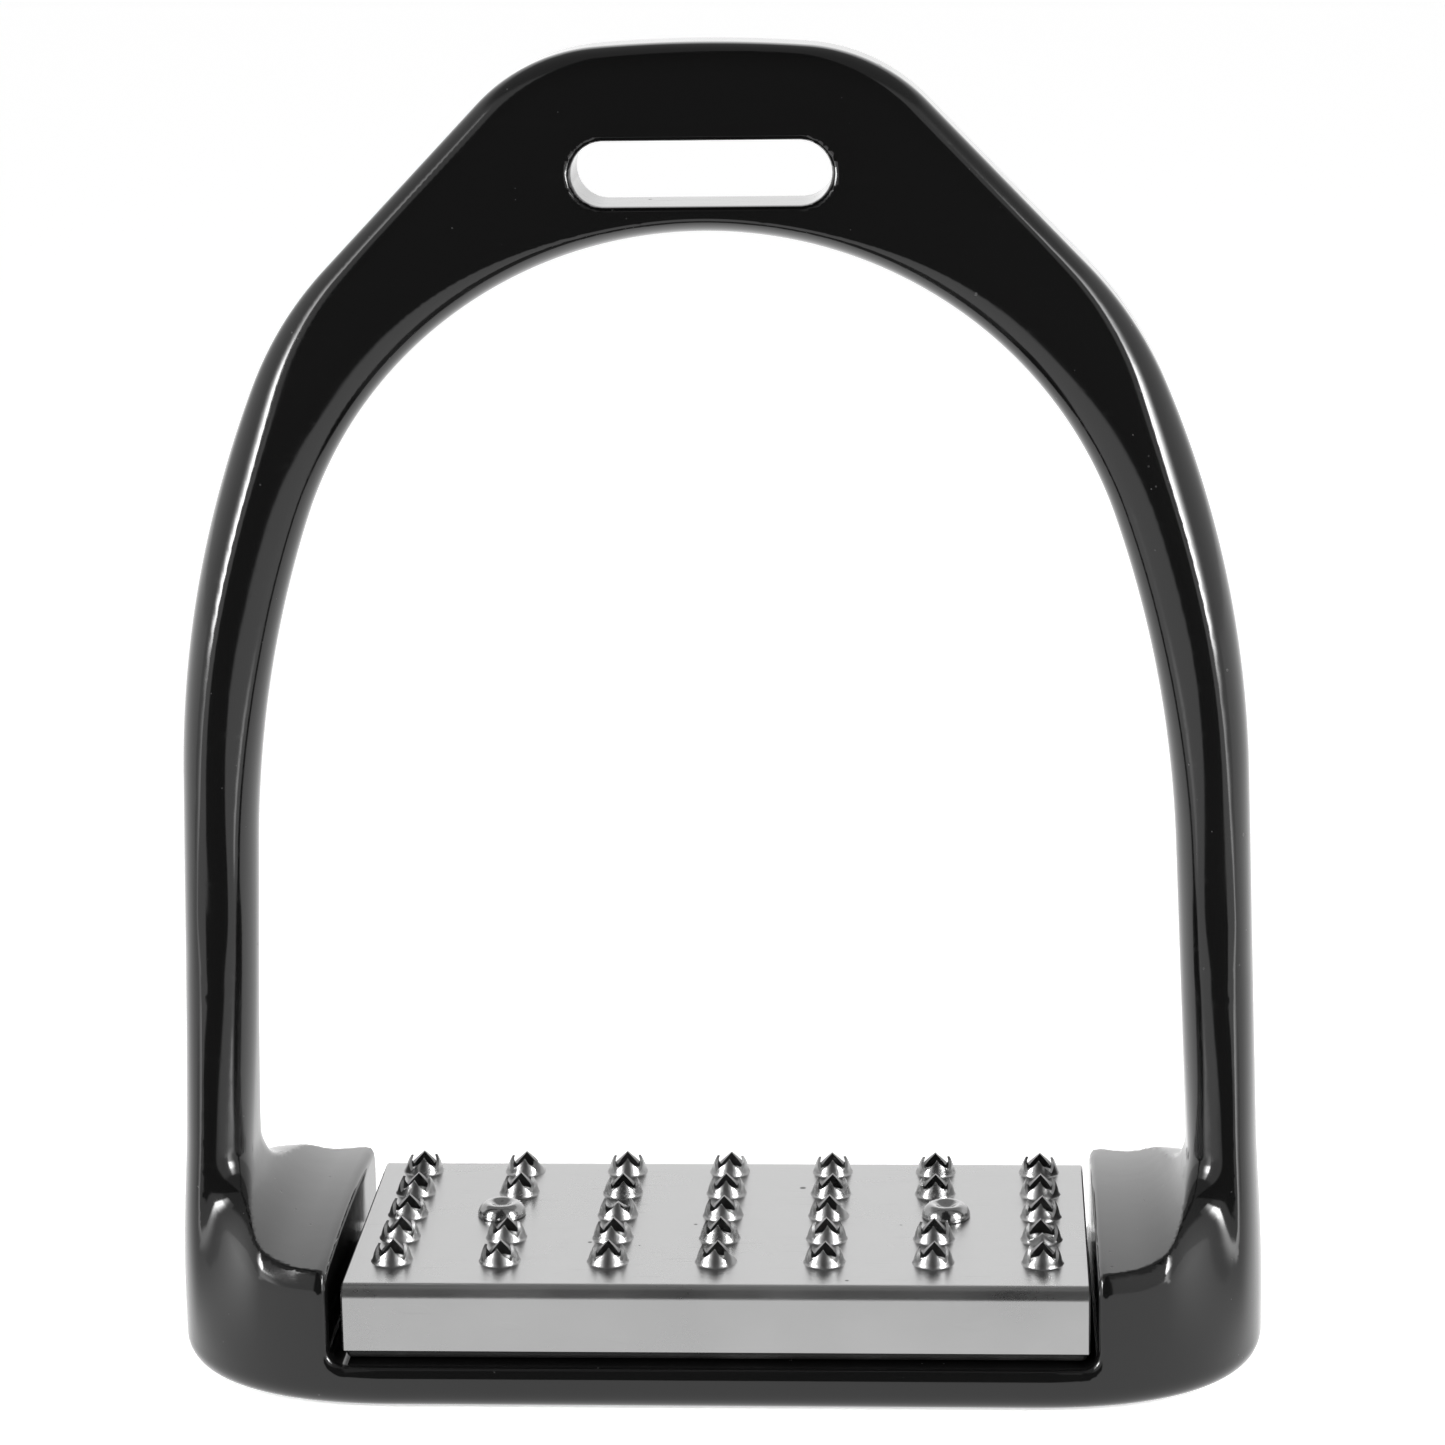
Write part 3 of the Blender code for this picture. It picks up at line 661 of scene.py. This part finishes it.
def build_tread_plate():
    """The folded sheet: strips along its section, bevelled ends, and a tooth or a hole in each cell."""
    rng = random.Random(SEED)
    bm = bmesh.new()
    low_x, high_x = PLATE_LOW[0], PLATE_HIGH[0]
    ends = low_x + EDGE_BEVEL, high_x - EDGE_BEVEL
    flat = PLATE_HIGH[1] - BEND_RADIUS
    first_x, first_y = first_tooth()
    stations = cell_marks(*ends, first_x, TOOTH_PITCH_X, TOOTH_COLUMNS)
    marks = cell_marks(-flat, flat, first_y, TOOTH_PITCH_Y, TOOTH_ROWS)
    outside, inside = channel_profile(SHEET, 0.0, marks)
    profile = outside + inside[::-1]
    thin_outside, thin_inside = channel_profile(SHEET - 2 * EDGE_BEVEL, EDGE_BEVEL, marks)
    thin = thin_outside + thin_inside[::-1]
    rise = (len(outside) - len(marks)) // 2
    top_start, under_start = rise, len(outside) + rise
    made = {}

    def vert(station, index):
        if (station, index) not in made:
            y, z = profile[index]
            made[station, index] = bm.verts.new((stations[station], y, z))
        return made[station, index]

    for station in range(len(stations) - 1):
        for index in range(len(profile)):
            if any(start <= index < start + len(marks) - 1 for start in (top_start, under_start)):
                continue
            after = (index + 1) % len(profile)
            corners = (station, index), (station, after), (station + 1, after), (station + 1, index)
            bm.faces.new([vert(*corner) for corner in corners])
    for station, x in ((0, low_x), (len(stations) - 1, high_x)):
        edge = [vert(station, index) for index in range(len(profile))]
        end = add_loop(bm, [Vector((x, y, z)) for y, z in thin])
        bridge(bm, [edge, end])
        for i in range(len(outside) - 1):
            bm.faces.new((end[i], end[i + 1], end[-2 - i], end[-1 - i]))
    for column in range(TOOTH_COLUMNS):
        for row in range(TOOTH_ROWS):
            loops = tooth_or_rivet_loops(bm, column, row, rng)
            border = cell_border(column, row)
            top = [vert(station, top_start + len(marks) - 1 - mark) for station, mark in border]
            under = [vert(station, under_start + mark) for station, mark in border]
            bridge(bm, [top] + loops + [under])
    return smooth_sharp_edges(new_object("punched_tread", bm), TREAD_SHARP_ANGLE)


# ---------------- pad and rivets

PAD_CORNER = 0.7
PAD_STEPS = 5

# The pad's corner arcs as shares of PAD_CORNER: along its length, and where its ends close.
PAD_ARC_FULL, PAD_ARC_LEAST = 1.02, 0.04

RIVET_SIDES = 64
HEAD_SEAT_LIFT = 0.04
HEAD_DIAMETER = 6.3
SHANK_RADIUS, SHANK_EDGES = 2.1, (0.2, 0.1)

# How far out of round a rivet is: (waves round it, share of its radius).
RIVET_WAVES = ((2, 0.006), (5, 0.005))

# A rivet head with a dished centre, as shares of its radius and height, from the centre to the seat.
DISHED_HEAD = (
    (0.0, 0.62), (0.10, 0.63), (0.20, 0.67), (0.29, 0.76), (0.37, 0.87), (0.45, 0.95),
    (0.53, 0.99), (0.61, 1.00), (0.69, 0.96), (0.78, 0.86), (0.87, 0.70), (0.94, 0.50),
    (0.985, 0.28), (1.0, 0.12), (0.99, 0.03), (0.95, 0.0),
)

# The set tail, as radius and height over the rivet's lower end.
SET_TAIL = ((3.1, 1.3), (3.3, 1.15), (3.25, 0.8), (2.9, 0.35), (2.3, 0.08), (1.4, 0.0), (0.0, 0.0))


def rounded_rectangle(low_y, high_y, low_z, high_z, radius):
    points = []
    corners = ((high_y, high_z, 0), (low_y, high_z, 1), (low_y, low_z, 2), (high_y, low_z, 3))
    for y, z, quarter in corners:
        centre_y = y - math.copysign(radius, y)
        centre_z = z - radius if quarter < 2 else z + radius
        for step in range(PAD_STEPS + 1):
            turn = math.pi / 2 * (quarter + step / PAD_STEPS)
            points.append((centre_y + radius * math.cos(turn), centre_z + radius * math.sin(turn)))
    return points


def build_pad():
    """The rubber block inside the folded sheet, with soft edges all round."""
    bm = bmesh.new()
    low, high = PAD_LOW, PAD_HIGH
    stations = []
    for end, inward in ((low[0], 1), (high[0], -1)):
        turns = [math.pi / 2 * step / PAD_STEPS for step in range(PAD_STEPS + 1)]
        turns = turns if inward > 0 else turns[::-1]
        for turn in turns:
            inset = PAD_CORNER * (1 - math.sin(turn))
            stations.append((end + inward * PAD_CORNER * (1 - math.cos(turn)), inset))
    rings = []
    for x, inset in stations:
        radius = PAD_CORNER * PAD_ARC_FULL - inset * (PAD_ARC_FULL - PAD_ARC_LEAST)
        sides = low[1] + inset, high[1] - inset, low[2] + inset, high[2] - inset
        outline = rounded_rectangle(*sides, radius)
        rings.append(add_loop(bm, [Vector((x, y, z)) for y, z in outline]))
    bridge(bm, rings)
    bm.faces.new(rings[0])
    bm.faces.new(rings[-1])
    return smooth_sharp_edges(new_object("rubber_pad", bm), SHARP_ANGLE)


def rivet_profile(low_z, high_z, head_radius):
    """(radius, z) from the dished centre of the head, over its rim, down the shank to the tail."""
    seat = PLATE_TOP + HEAD_SEAT_LIFT
    height = high_z - seat
    tail_top = low_z + SET_TAIL[0][1]
    upper, lower = SHANK_EDGES
    profile = [(head_radius * share, seat + height * rise) for share, rise in DISHED_HEAD]
    profile += [(SHANK_RADIUS, z) for z in (seat, seat - upper, tail_top + lower, tail_top)]
    return profile + [(radius, low_z + rise) for radius, rise in SET_TAIL]


def build_rivet(name, low, high):
    """A turned profile that is slightly out of round."""
    rng = random.Random(f"{name}{SEED}")
    centre = Vector((*plan_centre(low, high), 0.0))
    head_radius = min(high[0] - low[0], HEAD_DIAMETER) / 2
    profile = rivet_profile(low[2], high[2], head_radius)
    waves = [(count, size, rng.uniform(0, math.tau)) for count, size in RIVET_WAVES]
    bm = bmesh.new()
    rings = []
    for radius, z in profile[1:-1]:
        ring = []
        for i in range(RIVET_SIDES):
            turn = math.tau * i / RIVET_SIDES
            uneven = sum(size * math.sin(count * turn + start) for count, size, start in waves)
            reach = radius * (1 + uneven)
            ring.append(centre + Vector((reach * math.cos(turn), reach * math.sin(turn), z)))
        rings.append(add_loop(bm, ring))
    bridge(bm, rings)
    for ring, (_, z) in ((rings[0], profile[0]), (rings[-1], profile[-1])):
        hub = bm.verts.new(centre + Vector((0.0, 0.0, z)))
        for i in range(RIVET_SIDES):
            bm.faces.new((ring[i], ring[(i + 1) % RIVET_SIDES], hub))
    return smooth_sharp_edges(new_object(f"{name}_set", bm), SHARP_ANGLE)


# ---------------- materials

COAT_ROUGHNESS = 0.085


class Nodes:
    """Short ways to add and wire the nodes of one material or world."""

    def __init__(self, tree):
        self.tree = tree
        tree.nodes.clear()

    def add(self, kind, inputs=None, **settings):
        """A node with these settings. Each input is a value, or a socket to link it to."""
        node = self.tree.nodes.new(kind)
        for name, value in settings.items():
            setattr(node, name, value)
        for key, value in (inputs or {}).items():
            self.feed(node.inputs[key], value)
        return node

    def feed(self, socket, value):
        if isinstance(value, bpy.types.NodeSocket):
            self.tree.links.new(value, socket)
        elif value is not None:
            socket.default_value = value

    def output(self, shader, kind="ShaderNodeOutputMaterial"):
        self.add(kind, {"Surface": shader})

    def glow(self, strength):
        return self.add("ShaderNodeEmission", {"Strength": strength}).outputs[0]

    def place(self):
        return self.add("ShaderNodeNewGeometry").outputs["Position"]

    def camera_ray(self):
        return self.add("ShaderNodeLightPath").outputs["Is Camera Ray"]

    def xyz(self, vector):
        return self.add("ShaderNodeSeparateXYZ", {0: vector}).outputs

    def math(self, operation, *values):
        node = self.add("ShaderNodeMath", dict(enumerate(values)), operation=operation)
        return node.outputs[0]

    def towards(self, level, target, share):
        """The level, moved by a share of the way to a target."""
        gap = self.math("SUBTRACT", target, level)
        return self.math("ADD", level, self.math("MULTIPLY", share, gap))

    def span(self, value, low, high, to_low=0.0, to_high=1.0, smooth=False):
        """Maps low..high to to_low..to_high and holds the ends."""
        inputs = {"Value": value, "From Min": low, "From Max": high, "To Min": to_low, "To Max": to_high}
        ramp = "SMOOTHSTEP" if smooth else "LINEAR"
        node = self.add("ShaderNodeMapRange", inputs, clamp=True, interpolation_type=ramp)
        return node.outputs["Result"]

    def blend(self, share, first, second):
        node = self.add("ShaderNodeMix", data_type="RGBA")
        for name, value in (("Factor", share), ("A", first), ("B", second)):
            sockets = [s for s in node.inputs if s.name == name and s.enabled]
            self.feed(sockets[0], value)
        return [s for s in node.outputs if s.enabled][0]

    def stretched(self, point, scale):
        return self.add("ShaderNodeMapping", {"Vector": point, "Scale": scale}).outputs["Vector"]

    def noise(self, point, per_metre, detail=2.0, roughness=0.5):
        inputs = {"Vector": point, "Scale": per_metre, "Detail": detail, "Roughness": roughness}
        return self.add("ShaderNodeTexNoise", inputs).outputs["Fac"]

    def specks(self, point, per_metre, share, radius):
        """1 at scattered dots: a share of the cells of a Voronoi grid holds a dot."""
        cells = self.add("ShaderNodeTexVoronoi", {"Vector": point, "Scale": per_metre}, feature="F1")
        parts = self.add("ShaderNodeSeparateColor", {0: cells.outputs["Color"]})
        chosen = self.math("LESS_THAN", parts.outputs[0], share)
        size = self.math("MULTIPLY", parts.outputs[1], radius)
        core = self.math("MULTIPLY", size, 0.6)
        dot = self.span(cells.outputs["Distance"], core, size, 1.0, 0.0, True)
        return self.math("MULTIPLY", dot, chosen)

    def bump(self, height, distance_mm, normal=None):
        inputs = {"Height": height, "Distance": distance_mm * MM, "Strength": 1.0, "Normal": normal}
        return self.add("ShaderNodeBump", inputs).outputs["Normal"]


def new_material(name):
    material = bpy.data.materials.new(name)
    material.use_nodes = True
    return material, Nodes(material.node_tree)


def start_material(name):
    """(material, its nodes, a Principled surface wired to the output, object coordinates)"""
    material, nodes = new_material(name)
    surface = nodes.add("ShaderNodeBsdfPrincipled")
    nodes.output(surface.outputs[0])
    return material, nodes, surface, nodes.add("ShaderNodeTexCoord").outputs["Object"]


def grey(level):
    return (level, level, level, 1.0)


def black_coat():
    """Gloss black coat: a slight orange peel, pits and dust specks, handling smudges and hairlines."""
    material, nodes, surface, point = start_material("gloss_black_coat")
    smudge = nodes.span(nodes.noise(point, 38, 4.0, 0.62), 0.50, 0.72, smooth=True)
    haze = nodes.span(nodes.noise(point, 900, 3.0), 0.35, 0.75)
    specks = nodes.specks(point, 420, 0.16, 0.14)
    dust = nodes.specks(point, 1100, 0.05, 0.2)
    hairline_point = nodes.stretched(point, (90, 900, 700))
    hairlines = nodes.span(nodes.noise(hairline_point, 1.0, 1.0), 0.66, 0.70)
    marks = nodes.math("MAXIMUM", specks, nodes.math("MULTIPLY", dust, 0.6))
    nodes.feed(surface.inputs["Base Color"], nodes.blend(marks, grey(0.004), grey(0.04)))
    rough = COAT_ROUGHNESS
    for pattern, share in ((smudge, 0.05), (haze, 0.025), (hairlines, 0.05), (marks, 0.3)):
        rough = nodes.math("ADD", rough, nodes.math("MULTIPLY", pattern, share))
    nodes.feed(surface.inputs["Roughness"], rough)
    surface.inputs["IOR"].default_value = 1.5
    peel = nodes.bump(nodes.noise(point, 260, 1.0), 0.012)
    fine = nodes.bump(nodes.noise(point, 1500, 2.0), 0.0012, normal=peel)
    pits = nodes.bump(nodes.math("SUBTRACT", 0.0, marks), 0.012, normal=fine)
    nodes.feed(surface.inputs["Normal"], pits)
    return material


def rolled_sheet():
    """Bright rolled steel: rolling lines along the tread, scratches, cloudy patches and dark marks."""
    material, nodes, surface, point = start_material("steel_sheet")
    lines = nodes.noise(nodes.stretched(point, (60, 2600, 2600)), 1.0, 2.0)
    grain = nodes.noise(point, 1800, 3.0)
    cloud = nodes.noise(point, 55, 3.0)
    scratch_point = nodes.stretched(point, (160, 2200, 500))
    scratches = nodes.span(nodes.noise(scratch_point, 1.0, 0.0), 0.72, 0.76)
    marks = nodes.specks(point, 300, 0.1, 0.16)
    tint = nodes.blend(nodes.span(cloud, 0.35, 0.7), grey(0.37), grey(0.42))
    nodes.feed(surface.inputs["Base Color"], nodes.blend(marks, tint, grey(0.20)))
    surface.inputs["Metallic"].default_value = 1.0
    rough = nodes.span(cloud, 0.3, 0.75, 0.23, 0.31)
    for pattern, share in ((grain, 0.05), (marks, 0.25)):
        rough = nodes.math("ADD", rough, nodes.math("MULTIPLY", pattern, share))
    nodes.feed(surface.inputs["Roughness"], rough)
    rolled = nodes.bump(lines, 0.0035)
    grained = nodes.bump(grain, 0.004, normal=rolled)
    scratched = nodes.bump(nodes.math("SUBTRACT", 0.0, scratches), 0.006, normal=grained)
    nodes.feed(surface.inputs["Normal"], scratched)
    return material


def rubber():
    """Moulded black rubber with dust in patches, pores and mould lines."""
    material, nodes, surface, point = start_material("black_rubber")
    dust = nodes.span(nodes.noise(point, 120, 5.0, 0.6), 0.5, 0.8)
    nodes.feed(surface.inputs["Base Color"], nodes.blend(dust, grey(0.012), grey(0.045)))
    nodes.feed(surface.inputs["Roughness"], nodes.span(dust, 0.0, 1.0, 0.55, 0.8))
    pores = nodes.bump(nodes.noise(point, 1600, 3.0), 0.03)
    mould_lines = nodes.noise(nodes.stretched(point, (40, 1400, 1400)), 1.0)
    nodes.feed(surface.inputs["Normal"], nodes.bump(mould_lines, 0.04, normal=pores))
    return material


def rivet_steel():
    """Bright rivet steel, cloudy, with the small dents left by the setting tool."""
    material, nodes, surface, point = start_material("rivet_steel")
    cloud = nodes.noise(point, 420, 3.0)
    nodes.feed(surface.inputs["Base Color"], nodes.blend(cloud, grey(0.34), grey(0.46)))
    surface.inputs["Metallic"].default_value = 1.0
    nodes.feed(surface.inputs["Roughness"], nodes.span(cloud, 0.3, 0.7, 0.14, 0.26))
    dents = nodes.bump(nodes.noise(point, 900, 2.0), 0.05)
    fine = nodes.bump(nodes.noise(point, 3500, 2.0), 0.006, normal=dents)
    nodes.feed(surface.inputs["Normal"], fine)
    return material


# ---------------- studio

# The dark gap round the camera, in degrees to each side of -Y.
WEDGE_LOW, WEDGE_HIGH = 23.5, 27.5
WEDGE_LEVEL = 0.04

# (degrees round from -Y, brightness) of the room, and a darker ceiling above these degrees.
ROOM_LEVELS = ((0, 1.0), (45, 1.0), (60, 1.15), (95, 1.1), (130, 1.0), (180, 1.8))
CEILING_LEVEL = 0.4
CEILING_START, CEILING_FULL = 32.0, 44.0

# Softboxes: place and size, the heights of their bright band, and how bright that band, the part
# over it, the whole sheet and the foot are. Towards the front a box brightens up to one share of
# its half width and fades out from another.
SOFTBOX_X, SOFTBOX_Y, SOFTBOX_WIDTH = 302.0, -132.0, 200.0
SOFTBOX_LOW, SOFTBOX_HIGH = 5.0, 340.0
SOFTBOX_RISE, SOFTBOX_FALL = (60.0, 90.0), (150.0, 215.0)
SOFTBOX_LEVEL, SOFTBOX_TALL_SHARE, SOFTBOX_EVEN = 30.0, 0.2, 0.9
SOFTBOX_FOOT = {"left": 2.4, "right": 4.6}
SOFTBOX_FULL_AT, SOFTBOX_FADE_AT, SOFTBOX_POWER = 0.62, 0.72, 3.0

# Floor, and the painted bands of light on it that reflections see: glow painted into the floor, not cast
# by the softboxes.
# Each runs forwards and outwards from beside a leg at this many degrees, with a softbox's foot
# brightness.
FLOOR_SIZE = 6000.0
FLOOR_DROP = 0.05
FLOOR_LEVEL, FLOOR_GLOW = 1.2, 0.55
FLOOR_DARK = (110.0, 140.0)
BAND_TURN, BAND_CORE, BAND_HALF_WIDTH, BAND_FROM = 54.0, 2.0, 9.0, 67.0
BAND_NEAR, BAND_FULL = 80.0, 125.0

CAMERA_PLACE = (33.858, -559.685, 219.255)
CAMERA_YAW, CAMERA_PITCH, CAMERA_ROLL = 0.0581754, 0.2386138, 0.0160830
CAMERA_LENS = 113.51
SENSOR_WIDTH = 36.0


def bearing(nodes, vector):
    """Degrees round from the -Y side, and degrees up, of a direction."""
    x, y, z = nodes.xyz(vector)
    turn = nodes.math("ARCTAN2", nodes.math("ABSOLUTE", x), nodes.math("MULTIPLY", y, -1.0))
    lift = nodes.math("ARCSINE", z)
    return nodes.math("DEGREES", turn), nodes.math("DEGREES", lift)


def wedge(nodes, turn):
    """1 in the dark gap round the camera, 0 outside it."""
    return nodes.span(turn, WEDGE_LOW, WEDGE_HIGH, 1.0, 0.0, smooth=True)


def light_room():
    """A white room seen by the camera; in reflections it's a soft tent with a dark gap at the front."""
    world = bpy.data.worlds.new("studio")
    world.use_nodes = True
    bpy.context.scene.world = world
    nodes = Nodes(world.node_tree)
    direction = nodes.add("ShaderNodeTexCoord").outputs["Generated"]
    turn, lift = bearing(nodes, direction)
    level = ROOM_LEVELS[0][1]
    for (start, before), (end, after) in zip(ROOM_LEVELS, ROOM_LEVELS[1:]):
        share = nodes.span(turn, start, end, smooth=True)
        level = nodes.math("ADD", level, nodes.math("MULTIPLY", share, after - before))
    up = nodes.span(lift, CEILING_START, CEILING_FULL, smooth=True)
    level = nodes.towards(level, CEILING_LEVEL, up)
    level = nodes.towards(level, WEDGE_LEVEL, wedge(nodes, turn))
    level = nodes.towards(level, 1.0, nodes.camera_ray())
    background = nodes.add("ShaderNodeBackground", {"Strength": level})
    nodes.output(background.outputs[0], "ShaderNodeOutputWorld")


def floor_brightness(nodes, place):
    """The floor's painted glow as reflections see it: even, with painted shade in the camera's gap and a
    painted band of light off each leg.
    """
    x, y, _ = nodes.xyz(place)
    forward = nodes.math("MULTIPLY", y, -1.0)
    turn, _ = bearing(nodes, place)
    far = nodes.span(forward, FLOOR_DARK[0] * MM, FLOOR_DARK[1] * MM, smooth=True)
    dark = nodes.math("MULTIPLY", far, wedge(nodes, turn))
    level = nodes.span(dark, 0.0, 1.0, FLOOR_LEVEL, WEDGE_LEVEL)
    beyond = nodes.math("SUBTRACT", nodes.math("ABSOLUTE", x), BAND_FROM * MM)
    turn_out = nodes.math("DEGREES", nodes.math("ARCTAN2", beyond, forward))
    off = nodes.math("ABSOLUTE", nodes.math("SUBTRACT", turn_out, BAND_TURN))
    squares = [nodes.math("POWER", value, 2.0) for value in (beyond, forward)]
    reach = nodes.math("SQRT", nodes.math("ADD", *squares))
    band = nodes.span(off, BAND_CORE, BAND_HALF_WIDTH, 1.0, 0.0, True)
    band = nodes.math("MULTIPLY", band, nodes.span(reach, BAND_NEAR * MM, BAND_FULL * MM, smooth=True))
    left, right = SOFTBOX_FOOT["left"] - FLOOR_LEVEL, SOFTBOX_FOOT["right"] - FLOOR_LEVEL
    band_level = nodes.span(nodes.math("GREATER_THAN", x, 0.0), 0.0, 1.0, left, right)
    return nodes.math("ADD", level, nodes.math("MULTIPLY", band, band_level))


def build_floor():
    """The pale floor: lit paper to the camera, and to reflections a painted glow with painted bands of
    light and painted shade.
    """
    bm = bmesh.new()
    half = FLOOR_SIZE / 2
    corners = [(-half, -half), (half, -half), (half, half), (-half, half)]
    bm.faces.new(add_loop(bm, [Vector((x, y, -FLOOR_DROP)) for x, y in corners]))
    floor = new_object("floor", bm)
    material, nodes = new_material("pale_floor")
    place = nodes.place()
    colour = nodes.blend(nodes.noise(place, 700, 2.0), grey(0.90), grey(0.94))
    paper = nodes.add("ShaderNodeBsdfDiffuse", {"Color": colour})
    lit = nodes.add("ShaderNodeAddShader", {0: paper.outputs[0], 1: nodes.glow(FLOOR_GLOW)})
    # Painted light: what reflections see of the floor is emission, with painted bands of light and
    # painted shade.
    mirrored = nodes.glow(floor_brightness(nodes, place))
    looks = {0: nodes.camera_ray(), 1: mirrored, 2: lit.outputs[0]}
    nodes.output(nodes.add("ShaderNodeMixShader", looks).outputs[0])
    floor.data.materials.append(material)
    return floor


def softbox_brightness(nodes, forward, foot_level):
    """Brightest at mid height and near the front edge."""
    place = nodes.place()
    _, _, height = nodes.xyz(place)
    run = nodes.add("ShaderNodeVectorMath", {0: place, 1: forward}, operation="DOT_PRODUCT")
    along = run.outputs["Value"]
    half = SOFTBOX_WIDTH * MM / 2
    ramp = nodes.span(along, -half, half * SOFTBOX_FULL_AT, smooth=True)
    edge = nodes.span(along, half * SOFTBOX_FADE_AT, half, 1.0, 0.0, True)
    rise_low, rise_high = [z * MM for z in SOFTBOX_RISE]
    fall_low, fall_high = [z * MM for z in SOFTBOX_FALL]
    rise = nodes.span(height, rise_low, rise_high, smooth=True)
    fall = nodes.span(height, fall_low, fall_high, 1.0, SOFTBOX_TALL_SHARE, True)
    fade = nodes.span(height, fall_high, SOFTBOX_HIGH * MM, 1.0, 0.0, True)
    level = nodes.math("MULTIPLY", nodes.math("MULTIPLY", fall, fade), SOFTBOX_LEVEL)
    level = nodes.math("ADD", nodes.math("MULTIPLY", level, rise), foot_level)
    shape = nodes.math("MULTIPLY", nodes.math("POWER", ramp, SOFTBOX_POWER), edge)
    return nodes.math("ADD", nodes.math("MULTIPLY", level, shape), SOFTBOX_EVEN)


def build_softbox(name, side, foot_level):
    """A tall strip light, turned to face the object and hidden from the camera."""
    bm = bmesh.new()
    middle = Vector((side * SOFTBOX_X, SOFTBOX_Y, 0.0))
    forward = Vector((side * middle.y, -side * middle.x, 0.0)).normalized()
    reach = forward * (SOFTBOX_WIDTH / 2)
    corners = [(-1, SOFTBOX_LOW), (1, SOFTBOX_LOW), (1, SOFTBOX_HIGH), (-1, SOFTBOX_HIGH)]
    bm.faces.new(add_loop(bm, [middle + end * reach + Vector((0.0, 0.0, z)) for end, z in corners]))
    box = new_object(name, bm)
    material, nodes = new_material(name)
    nodes.output(nodes.glow(softbox_brightness(nodes, forward, foot_level)))
    box.data.materials.append(material)
    box.visible_camera = False
    return box


def place_camera():
    """The camera at the photo's viewing angle. Yaw turns left, pitch looks down, roll tips clockwise."""
    data = bpy.data.cameras.new("photo_view")
    data.lens = CAMERA_LENS
    data.sensor_width = SENSOR_WIDTH
    camera = bpy.data.objects.new("photo_view", data)
    bpy.context.scene.collection.objects.link(camera)
    ahead = Vector((
        -math.sin(CAMERA_YAW) * math.cos(CAMERA_PITCH),
        math.cos(CAMERA_YAW) * math.cos(CAMERA_PITCH),
        -math.sin(CAMERA_PITCH),
    ))
    level_right = Vector((math.cos(CAMERA_YAW), math.sin(CAMERA_YAW), 0.0))
    level_down = ahead.cross(level_right)
    right = math.cos(CAMERA_ROLL) * level_right + math.sin(CAMERA_ROLL) * level_down
    down = math.cos(CAMERA_ROLL) * level_down - math.sin(CAMERA_ROLL) * level_right
    matrix = Matrix((right, -down, -ahead)).transposed().to_4x4()
    matrix.translation = Vector(CAMERA_PLACE) * MM
    camera.matrix_world = matrix
    bpy.context.scene.camera = camera


# ---------------- the scene


def dress(obj, material, slot, *nodes):
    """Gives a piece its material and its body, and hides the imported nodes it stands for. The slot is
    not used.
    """
    obj.data.materials.append(material)
    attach(obj, "root")
    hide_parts(*nodes)


def main():
    dress(build_frame(), black_coat(), "gloss_black_coat", "frame")
    dress(build_tread_plate(), rolled_sheet(), "steel_sheet", "tread_plate")
    dress(build_pad(), rubber(), "black_rubber", "tread_insert")
    bright = rivet_steel()
    for name, (low, high) in RIVET_BOXES.items():
        dress(build_rivet(name, low, high), bright, "rivet_steel", name)
    light_room()
    stage = [build_floor()]
    for name, side in (("left", -1), ("right", 1)):
        stage.append(build_softbox(f"softbox_{name}", side, SOFTBOX_FOOT[name]))
    place_camera()
    bpy.context.scene.view_settings.view_transform = "Standard"


main()
